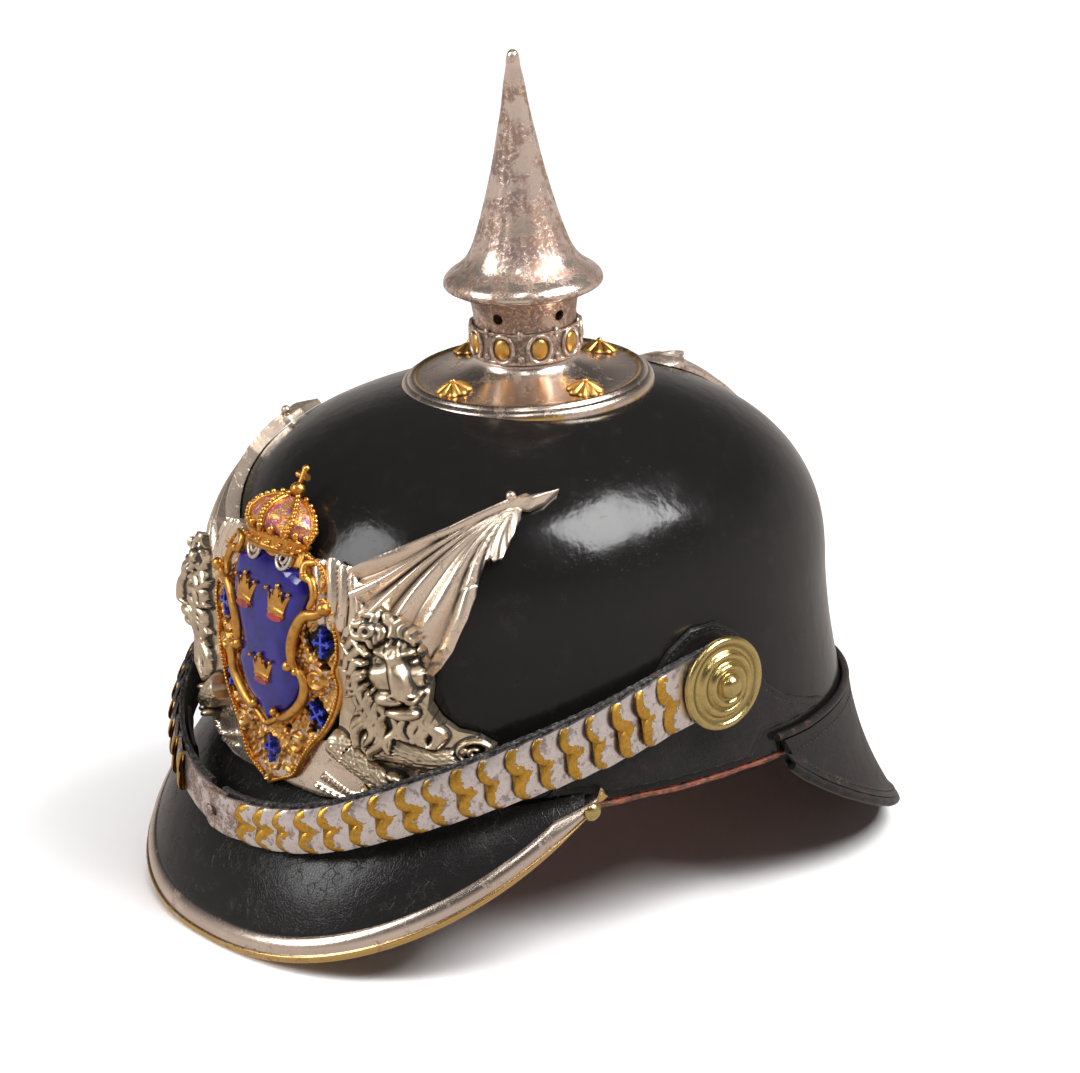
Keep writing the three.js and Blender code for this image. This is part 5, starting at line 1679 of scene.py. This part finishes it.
def chased_gilt():
    """Old fire gilding with chased dots and a pale grey residue in its low places."""
    f = Finish("chased_gilt")
    hollow = f.value("hollow")
    cloud = f.noise(3.0, 4, 0.6)
    shade = f.mix(cloud.step(0.35, 0.7), settings("colours").gilt, (0.62, 0.27, 0.055))
    residue = (hollow.step(0.06, 0.25) * f.noise(2.4, 4, 0.7).step(0.46, 0.58)).clamped()
    # Painted shade: brown-black where the hollow value is high.
    shade = f.mix(hollow.step(0.3, 0.9), shade, (0.06, 0.03, 0.018))
    shade = f.mix(residue * 0.85, shade, (0.50, 0.48, 0.45))
    rough = 0.27 + f.noise(0.6, 3) * 0.16 + residue * 0.3
    dots = f.cells(0.55, "F1")
    return f.surface(Base_Color=shade, Roughness=rough, Metallic=1 - residue * 0.85 - hollow.step(0.6, 1.0)
        * 0.1, Normal=f.bump(dots * 0.6 + f.noise(0.8, 2), 0.09))


SMALL_CROWN = [(0, -4.9), (3.6, -4.3), (3.9, -1.9), (5.5, 2.9), (4.2, 2.2), (3.0, 0.2), (2.1, 2.6),
    (1.1, 1.4), (1.2, 3.4), (0, 4.8)]


def build_small_crowns():
    """Three open crowns with ball points over a red cap; the band bulges, and its foot is an oval."""
    red = enamel("red_cap", (0.32, 0.02, 0.015), (0.16, 0.01, 0.01), rough=0.25, coat=0.5)
    metal = chased_gilt()
    for number, (x, z) in enumerate(((-8.6, 70.6), (8.6, 70.6), (0, 47.0))):
        outline = [(a + x, b + z) for a, b in mirrored(SMALL_CROWN)]
        distance = within(outline)

        def height(a, b):
            bulge = round_bar(a - x, 5.6)
            bands = 0.35 * bell(b - z + 1.9 + 0.05 * (a - x) ** 2, 0.4)
            return 5.9 + 1.6 * bulge + bands

        shape = Shape()
        # The hollow value from darkness() gives painted shade in the crown's low places.
        add_relief(shape, distance, height, plate_front, (x - 6, z - 5, x + 6, z + 5), step=0.24,
            floor=CROWN_SEAT, hollow=lambda a, b: darkness(height, a, b, 0.5, 0.8))
        for a, b, radius in ((-5.4, 3.4, 0.75), (5.4, 3.4, 0.75), (-2.2, 3.2, 0.6), (2.2, 3.2, 0.6),
                (0, 4.9, 0.9)):
            spot = spot_on(plate_front, x + a, z + b, 7.3)
            ball(shape, spot, radius, 0, 10, 7)
        cap = [(x + 3.5 * math.cos(t), z - 4.3 + 1.1 * math.sin(t)) for t in
            np.linspace(0, 2 * np.pi, 20)[:-1]]
        add_relief(shape, within(cap), level(7.75), plate_front, (x - 4, z - 6, x + 4, z - 3), step=0.3,
            floor=CROWN_SEAT, finish=1)
        piece(f"small_crown_{number + 1}", shape, [metal, red], [f"shield_crown_{number + 1}"],
            sharp=55)


CROWN_FOOT, CROWN_TOP = np.array([0.0, -100.5, 86.5]), np.array([0.0, -89.5, 104.8])


def build_crown():
    """A closed crown in half round: a banded circlet, five beaded arches over caps, an orb and a cross."""
    up = unit(CROWN_TOP - CROWN_FOOT)
    out = unit(np.cross([1.0, 0, 0], up))
    out = out if out[1] < 0 else -out
    right = np.array([1.0, 0, 0])
    tall = np.linalg.norm(CROWN_TOP - CROWN_FOOT)
    base = CROWN_FOOT - out * 3.0

    def spot(x, y, z):
        x, y, z = np.broadcast_arrays(np.asarray(x, float), y, z)
        return base + right * x[..., None] + out * y[..., None] + up * z[..., None]

    def dome(turn, t):
        """The cap's surface: turn goes from one side to the other, and t from the circlet to the orb."""
        swell = np.interp(t, [0, 0.2, 0.45, 0.7, 0.88, 1.0], [11.2, 14.6, 15.4, 12.6, 8.0, 2.4])
        return spot(swell * np.sin(turn), 0.62 * swell * np.cos(turn), 4.8 + t * (tall - 6.2) - 1.6 *
            (t > 0.96))

    shape = Shape()
    turn = np.linspace(-np.pi / 2 - 0.25, np.pi / 2 + 0.25, 72)[None]
    t = np.linspace(0, 1, 24)[:, None]
    cap = dome(turn + 0 * t, t + 0 * turn)
    back = np.broadcast_to(spot(0.0, -3.0, 4.8 + t * (tall - 6.2)), cap[:, :1].shape)
    add_sweep(shape, np.concatenate([cap, back], 1), finish=1)
    arches = np.radians([-88, -46, 0, 46, 88])
    for lean in arches:
        t_line = np.linspace(0, 0.99, 40)
        line = dome(np.full(40, lean), t_line)
        outward = unit(line - spot(0, 0, 0.5 * tall))
        add_sweep(shape, rod(line + outward * 0.3, 1.15, outward, 10, 0.7), hollow=0.0)
        for k in range(1, 38, 3):
            ball(shape, line[k] + outward[k] * 1.2, 0.95, 0, 10, 6)
    levels = [(0.0, 9.6), (0.3, 10.6), (0.9, 10.9), (1.3, 10.5), (1.7, 10.4), (3.6, 11.2), (4.1, 11.8),
        (4.8, 12.2), (5.4, 11.8), (5.6, 10.4)]
    ring_turn = np.linspace(-np.pi / 2 - 0.3, np.pi / 2 + 0.3, 72)[None]
    z = np.array([a for a, b in levels])[:, None]
    r = np.array([b for a, b in levels])[:, None] * 1.22
    ring = spot(r * np.sin(ring_turn), 0.62 * r * np.cos(ring_turn), z + 0.1 * (r * np.sin(ring_turn)) ** 2
        / 14)
    hub = np.broadcast_to(spot(0.0, -3.0, z), ring[:, :1].shape)
    add_sweep(shape, np.concatenate([ring, hub], 1), hollow=0.08)
    for lean in np.radians(np.linspace(-80, 80, 9)):
        where = spot(13.6 * math.sin(lean), 8.5 * math.cos(lean), 2.7 + 1.2 * math.sin(lean) ** 2)
        ball(shape, where, (1.25, 1.25, 0.85), 0, 12, 7)
        top = spot(15.2 * math.sin(lean), 9.4 * math.cos(lean), 6.8 + 1.4 * math.sin(lean) ** 2)
        ball(shape, top, (1.2, 1.2, 1.5), 0, 10, 7)
    ball(shape, spot(0, 0.4, tall + 0.8), 2.6, 0, 24, 14)
    add_sweep(shape, rod(spot(0, 0.4, np.linspace(tall + 2.5, tall + 8.0, 10)), np.linspace(0.8, 1.15, 10),
        right, 10))
    add_sweep(shape, rod(spot(np.linspace(-2.6, 2.6, 12), 0.4, tall + 5.6),
        0.85 + 0.4 * np.abs(np.linspace(-1, 1, 12)), up, 10))
    ball(shape, spot(0, 0.4, tall + 8.2), (1.4, 1.2, 1.2), 0, 12, 7)
    piece("crown_gilt_work", shape, [chased_gilt(), crown_cap()], ["crown"], sharp=50)


def crown_cap():
    """Gilt caps between the arches, with remains of red and violet enamel and a pale residue."""
    f = Finish("crown_cap")
    patches = f.noise(2.6, 4, 0.65)
    gold = f.mix(f.noise(1.2, 3), settings("colours").gilt, (0.60, 0.30, 0.09))
    shade = f.mix(patches.step(0.46, 0.54), gold, f.mix(f.noise(3, 2).step(0.4, 0.6), (0.36, 0.05, 0.035),
        (0.18, 0.05, 0.12)))
    pale = f.noise(1.7, 4, 0.7).step(0.56, 0.62)
    shade = f.mix(pale * 0.7, shade, (0.62, 0.50, 0.46))
    return f.surface(Base_Color=shade, Roughness=0.34, Metallic=0.85 - patches.step(0.46, 0.54) * 0.7,
        Normal=f.bump(f.cells(0.9, "F1") + f.noise(0.8, 3), 0.14))


# --- geometry node trees
HELMET_TURN = Matrix.Translation((0, ORIGIN_Y * MM, ORIGIN_Z * MM)) @ Matrix.Rotation(TILT, 4, "X")


def new_tree(name, inputs):
    """An empty geometry node tree with named inputs: {name: (socket type, default)}."""
    tree = bpy.data.node_groups.new(name, "GeometryNodeTree")
    tree.interface.new_socket("Geometry", in_out="INPUT", socket_type="NodeSocketGeometry")
    for label, (kind, default) in inputs.items():
        socket = tree.interface.new_socket(label, in_out="INPUT", socket_type=kind)
        if default is not None:
            socket.default_value = default
    tree.interface.new_socket("Geometry", in_out="OUTPUT", socket_type="NodeSocketGeometry")
    return tree


def tree_node(tree, kind, options=None, inputs=None):
    node = tree.nodes.new(kind)
    for option, value in (options or {}).items():
        setattr(node, option, value)
    for key, value in (inputs or {}).items():
        if isinstance(value, bpy.types.NodeSocket):
            tree.links.new(value, node.inputs[key])
        else:
            node.inputs[key].default_value = value
    return node


def finish_tree(tree, geometry, material):
    real = tree_node(tree, "GeometryNodeRealizeInstances", inputs={"Geometry": geometry})
    shaded = tree_node(tree, "GeometryNodeSetMaterial", inputs={"Geometry": real.outputs[0],
        "Material": material})
    tree_node(tree, "NodeGroupOutput", inputs={0: shaded.outputs[0]})
    return tree


def stitch_tree():
    """Sets a stitch at even distances along the incoming edges, lying along them and facing their 'up'."""
    tree = new_tree("stitches", {"Spacing": ("NodeSocketFloat", 0.0023),
        "Half length": ("NodeSocketFloat", 0.0008), "Half width": ("NodeSocketFloat", 0.0003),
        "Thread": ("NodeSocketMaterial", None)})
    source = tree_node(tree, "NodeGroupInput")
    given = {socket.name: socket for socket in source.outputs if socket.name}
    curve = tree_node(tree, "GeometryNodeMeshToCurve", inputs={0: given["Geometry"]})
    evenly = tree_node(tree, "GeometryNodeResampleCurve", {"mode": "LENGTH"},
        {"Curve": curve.outputs[0], "Length": given["Spacing"]})
    way = tree_node(tree, "GeometryNodeInputTangent")
    up = tree_node(tree, "GeometryNodeInputNamedAttribute", {"data_type": "FLOAT_VECTOR"}, {"Name": "up"})
    turn = tree_node(tree, "FunctionNodeAxesToRotation", {"primary_axis": "X", "secondary_axis": "Z"},
        {0: way.outputs[0], 1: up.outputs[0]})
    scale = tree_node(tree, "ShaderNodeCombineXYZ", inputs={"X": given["Half length"],
        "Y": given["Half width"], "Z": given["Half width"]})
    bead = tree_node(tree, "GeometryNodeMeshUVSphere", inputs={"Segments": 8, "Rings": 5, "Radius": 1.0})
    copies = tree_node(tree, "GeometryNodeInstanceOnPoints", inputs={"Points": evenly.outputs[0],
        "Instance": bead.outputs[0], "Rotation": turn.outputs[0], "Scale": scale.outputs[0]})
    return finish_tree(tree, copies.outputs[0], given["Thread"])


def ring_tree():
    """Copies the incoming shape round the Z axis."""
    tree = new_tree("ring_of_copies", {"Count": ("NodeSocketInt", 9),
        "First angle": ("NodeSocketFloat", 0.0), "Metal": ("NodeSocketMaterial", None)})
    source = tree_node(tree, "NodeGroupInput")
    given = {socket.name: socket for socket in source.outputs if socket.name}
    points = tree_node(tree, "GeometryNodePoints", inputs={"Count": given["Count"]})
    index = tree_node(tree, "GeometryNodeInputIndex")
    share = tree_node(tree, "ShaderNodeMath", {"operation": "DIVIDE"},
        {0: index.outputs[0], 1: given["Count"]})
    angle = tree_node(tree, "ShaderNodeMath", {"operation": "MULTIPLY_ADD"},
        {0: share.outputs[0], 1: 2 * math.pi, 2: given["First angle"]})
    turn = tree_node(tree, "ShaderNodeCombineXYZ", inputs={"Z": angle.outputs[0]})
    rotation = tree_node(tree, "FunctionNodeEulerToRotation", inputs={0: turn.outputs[0]})
    copies = tree_node(tree, "GeometryNodeInstanceOnPoints", inputs={"Points": points.outputs[0],
        "Instance": given["Geometry"], "Rotation": rotation.outputs[0]})
    return finish_tree(tree, copies.outputs[0], given["Metal"])


def grown(name, mesh, tree, inputs, nodes=(), place=None):
    """A piece made by a node tree from a mesh: inputs are given by name, and place moves the result."""
    item = new_object(name, mesh)
    modifier = item.modifiers.new(tree.name, "NODES")
    modifier.node_group = tree
    sockets = {s.name: s.identifier for s in tree.interface.items_tree if getattr(s, "in_out", "") ==
        "INPUT"}
    for label, value in inputs.items():
        modifier[sockets[label]] = value
    apply_modifiers(item)
    item.data.name = name
    if place is not None:
        item.data.transform(place)
    item.data.shade_smooth()
    return ride(item, nodes)


def route_mesh(lines):
    """Edges along lines of (points, ups) in mm of the helmet frame."""
    mesh = bpy.data.meshes.new("route")
    points, edges, ups, count = [], [], [], 0
    for line, up in lines:
        points.append(to_row(line))
        ups.append(to_row(np.asarray(up) * 1000) - to_row([[0, 0, 0]]))
        edges += [(k, k + 1) for k in range(count, count + len(line) - 1)]
        count += len(line)
    mesh.from_pydata(np.vstack(points).tolist(), edges, [])
    layer = mesh.attributes.new("up", "FLOAT_VECTOR", "POINT")
    layer.data.foreach_set("vector", unit(np.vstack(ups)).astype(np.float32).ravel())
    return mesh


def patch_seams(side):
    """The stitch line inside the patch's outline, with the outward directions."""
    line = smooth_path(PATCH[:12], 260)
    along = np.gradient(line, axis=0)
    inward = unit(np.column_stack([along[:, 1], -along[:, 0]]))
    sign = 1 if inside(PATCH, *(line + inward * 2.3)[130][:, None])[0] > 0 else -1
    line = line + inward * 2.3 * sign
    surface = lambda a, b: skull_side(a, b, 0.0, side)
    low = raised(surface, line[:, 0], line[:, 1], np.full(len(line), GAP + 1.05))
    high = raised(surface, line[:, 0], line[:, 1], np.full(len(line), GAP + 2.05))
    return low, high - low


def guard_seams(inset):
    """A stitch line along the neck guard, an inset in mm from its rim, with the upward directions."""
    u = np.linspace(0.04, 0.96, 300)
    share = 1 - inset / np.maximum(rim_reach(GUARD, 1, u), 8)
    up = brim_normal(GUARD, 1, u, share)
    return brim_point(GUARD, 1, u, share) + up * 1.55, up


def build_stitching():
    tree = stitch_tree()
    sizes = settings("sizes")
    lines = [patch_seams(1), patch_seams(-1), guard_seams(3.2)]
    u = np.linspace(0.04, 0.96, 300)
    up = brim_normal(GUARD, 1, u, np.full(300, 0.06))
    root = np.clip(3.2 / np.maximum(rim_reach(GUARD, 1, u), 8), 0, 0.9)
    lines.append((brim_point(GUARD, 1, u, root) + up * 1.05, up))
    inputs = {"Spacing": sizes.stitch_spacing * MM, "Half length": sizes.stitch_length * MM,
        "Half width": 0.27 * MM, "Thread": thread()}
    grown("leather_stitches", route_mesh(lines), tree, inputs)


# --- stage
FLOOR_RADIUS, FLOOR_RINGS, FLOOR_SIDES = 14.0, 24, 96
GLOW_START, GLOW_RUN, GLOW = 0.45, 1.9, (0.86, 0.85, 0.85)


def build_stage():
    stage = settings("stage")
    low, high = CAD_BOX
    middle = (Vector(low) + Vector(high)) / 2
    add_floor()
    add_camera(stage, middle)
    add_lights(middle)


def add_floor():
    """A round, flat, pale floor that glows further out, so that it looks even from every side."""
    reach = FLOOR_RADIUS * np.linspace(0, 1, FLOOR_RINGS)[:, None] ** 2
    turn = circle(FLOOR_SIDES)[None]
    points = np.stack([reach * np.cos(turn), reach * np.sin(turn), 0 * reach * turn], -1).reshape(-1, 3)
    mesh = bpy.data.meshes.new("floor")
    mesh.from_pydata(points.tolist(), [], grid_faces(FLOOR_RINGS, FLOOR_SIDES, around=True).tolist())
    clean(mesh)
    places = np.empty(len(mesh.vertices) * 3)
    mesh.vertices.foreach_get("co", places)
    away = np.hypot(*places.reshape(-1, 3)[:, :2].T)
    far = mesh.attributes.new("far", "FLOAT", "POINT")
    far.data.foreach_set("value", np.clip((away - GLOW_START) / GLOW_RUN, 0, 1).astype(np.float32))
    f = Finish("pale_floor")
    glow = f.mix(f.value("far"), (0, 0, 0), GLOW)
    f.surface(Base_Color=settings("colours").ground, Roughness=0.75, Emission_Color=glow,
        Emission_Strength=1.0)
    mesh.materials.append(f.material)
    floor = new_object("floor", mesh)
    floor.visible_glossy = False


def add_camera(stage, middle):
    lens = bpy.data.cameras.new("studio_camera")
    lens.lens, lens.sensor_width, lens.clip_start = stage.focal_length, 36.0, 0.05
    camera = new_object("studio_camera", lens)
    aim = middle + Vector(stage.aim)
    away = Vector((math.sin(stage.azimuth), -math.cos(stage.azimuth), 0)) * math.cos(stage.elevation)
    away.z = math.sin(stage.elevation)
    camera.location = aim + away * stage.distance
    camera.rotation_euler = (-away).to_track_quat("-Z", "Y").to_euler()
    bpy.context.scene.camera = camera


# Softboxes: name, azimuth and elevation in degrees, distance, width, height, power, and if gloss shows it.
SOFTBOXES = [("key_softbox", 118, 50, 1.5, 0.80, 0.75, 34, True), ("fill_softbox", -22, 32, 1.8, 0.7, 0.9,
    16, True), ("front_strip", 40, 60, 1.7, 0.16, 0.9, 2.5, True), ("top_softbox", 60, 80, 1.9, 1.8, 1.6,
    34, False)]
# The room's light, from straight below to straight above.
SKY = [(0.0, (0.46, 0.42, 0.39)), (0.44, (0.60, 0.55, 0.52)), (0.58, (0.42, 0.39, 0.375)),
    (0.72, (0.07, 0.067, 0.067)), (1.0, (0.04, 0.04, 0.042))]


def add_lights(middle):
    for name, azimuth, elevation, distance, wide, tall, power, in_gloss in SOFTBOXES:
        light = bpy.data.lights.new(name, "AREA")
        light.shape, light.size, light.size_y, light.energy = "RECTANGLE", wide, tall, power
        lamp = new_object(name, light)
        lamp.visible_glossy = in_gloss
        a, e = math.radians(azimuth), math.radians(elevation)
        away = Vector((math.sin(a) * math.cos(e), -math.cos(a) * math.cos(e), math.sin(e)))
        lamp.location = middle + away * distance
        lamp.rotation_euler = (-away).to_track_quat("-Z", "Y").to_euler()
    sky = Finish("studio", sky=True)
    up = sky.node("ShaderNodeSeparateXYZ", inputs={0: sky.node("ShaderNodeTexCoord")}, output=2)
    height = sky.node("ShaderNodeMapRange", inputs={"Value": up, "From Min": -1.0})
    bpy.context.scene.world = sky.surface(Color=sky.node("ShaderNodeValToRGB", {"stops": SKY}, {0: height}))
    bpy.context.scene.view_settings.view_transform = "Standard"


# --- operators and panel
def operator(name, label, text, *builders):
    """An operator that runs builders in order."""

    def execute(self, context):
        for build in builders:
            build()
        return {"FINISHED"}

    return type(name, (bpy.types.Operator,), {
        "bl_idname": "helmet." + label.lower().replace(" ", "_"),
        "bl_label": label, "__doc__": text, "execute": execute,
    })


OPERATORS = [
    operator("HELMET_OT_skull", "Skull",
             "Build the lacquered skull and the sweatband in it", build_skull, build_sweatband),
    operator("HELMET_OT_visor", "Visor",
             "Build the visor, its metal trim and its rivets", build_visor, build_visor_trim),
    operator("HELMET_OT_neck_guard", "Neck guard",
             "Build the neck guard with its rolled edge and welt", build_neck_guard),
    operator("HELMET_OT_spike", "Spike",
             "Build the base plate, its studs, the collar, its band and the spike",
             build_base_plate, build_star_studs, build_collar, build_collar_band, build_spike),
    operator("HELMET_OT_sides", "Sides and back",
             "Build the side patches, the rear spine and the bosses", build_side_patches,
             build_spine, build_bosses),
    operator("HELMET_OT_chin_scales", "Chin scales",
             "Build the straps, the chin scales and the end plates", build_straps, build_scales,
             build_end_plates, build_far_loop),
    operator("HELMET_OT_front_plate", "Front plate",
             "Build the flags and lions of the front plate", build_front_plate),
    operator("HELMET_OT_arms", "Arms",
             "Build the shield, its crowns, the cartouche and the large crown", build_shield,
             build_small_crowns, build_cartouche, build_crown),
    operator("HELMET_OT_stitches", "Stitches",
             "Sew the patches and the neck guard", build_stitching),
    operator("HELMET_OT_stage", "Stage",
             "Build the floor, the lights and the camera", build_stage),
]


class HELMET_PT_panel(bpy.types.Panel):
    """The helmet's sizes and its build steps."""

    bl_label = "Parade helmet"
    bl_idname = "HELMET_PT_panel"
    bl_space_type = "VIEW_3D"
    bl_region_type = "UI"
    bl_category = "Helmet"

    def draw(self, context):
        for group in ("sizes", "colours", "stage"):
            box = self.layout.box()
            box.label(text=group.capitalize())
            for name in type(settings(group)).__annotations__:
                box.prop(settings(group), name)
        for kind in OPERATORS:
            self.layout.operator(kind.bl_idname)


GROUPS = {"helmet_sizes": HelmetSizes, "helmet_colours": HelmetColours, "helmet_stage": StageSettings}
CLASSES = [*GROUPS.values(), *OPERATORS, HELMET_PT_panel]


def register():
    for kind in CLASSES:
        bpy.utils.register_class(kind)
    for name, kind in GROUPS.items():
        setattr(bpy.types.Scene, name, bpy.props.PointerProperty(type=kind))


def unregister():
    for name in GROUPS:
        delattr(bpy.types.Scene, name)
    for kind in reversed(CLASSES):
        bpy.utils.unregister_class(kind)


def main():
    register()
    for kind in OPERATORS:
        getattr(bpy.ops.helmet, kind.bl_idname.split(".")[1])()


if __name__ == "__main__":
    main()
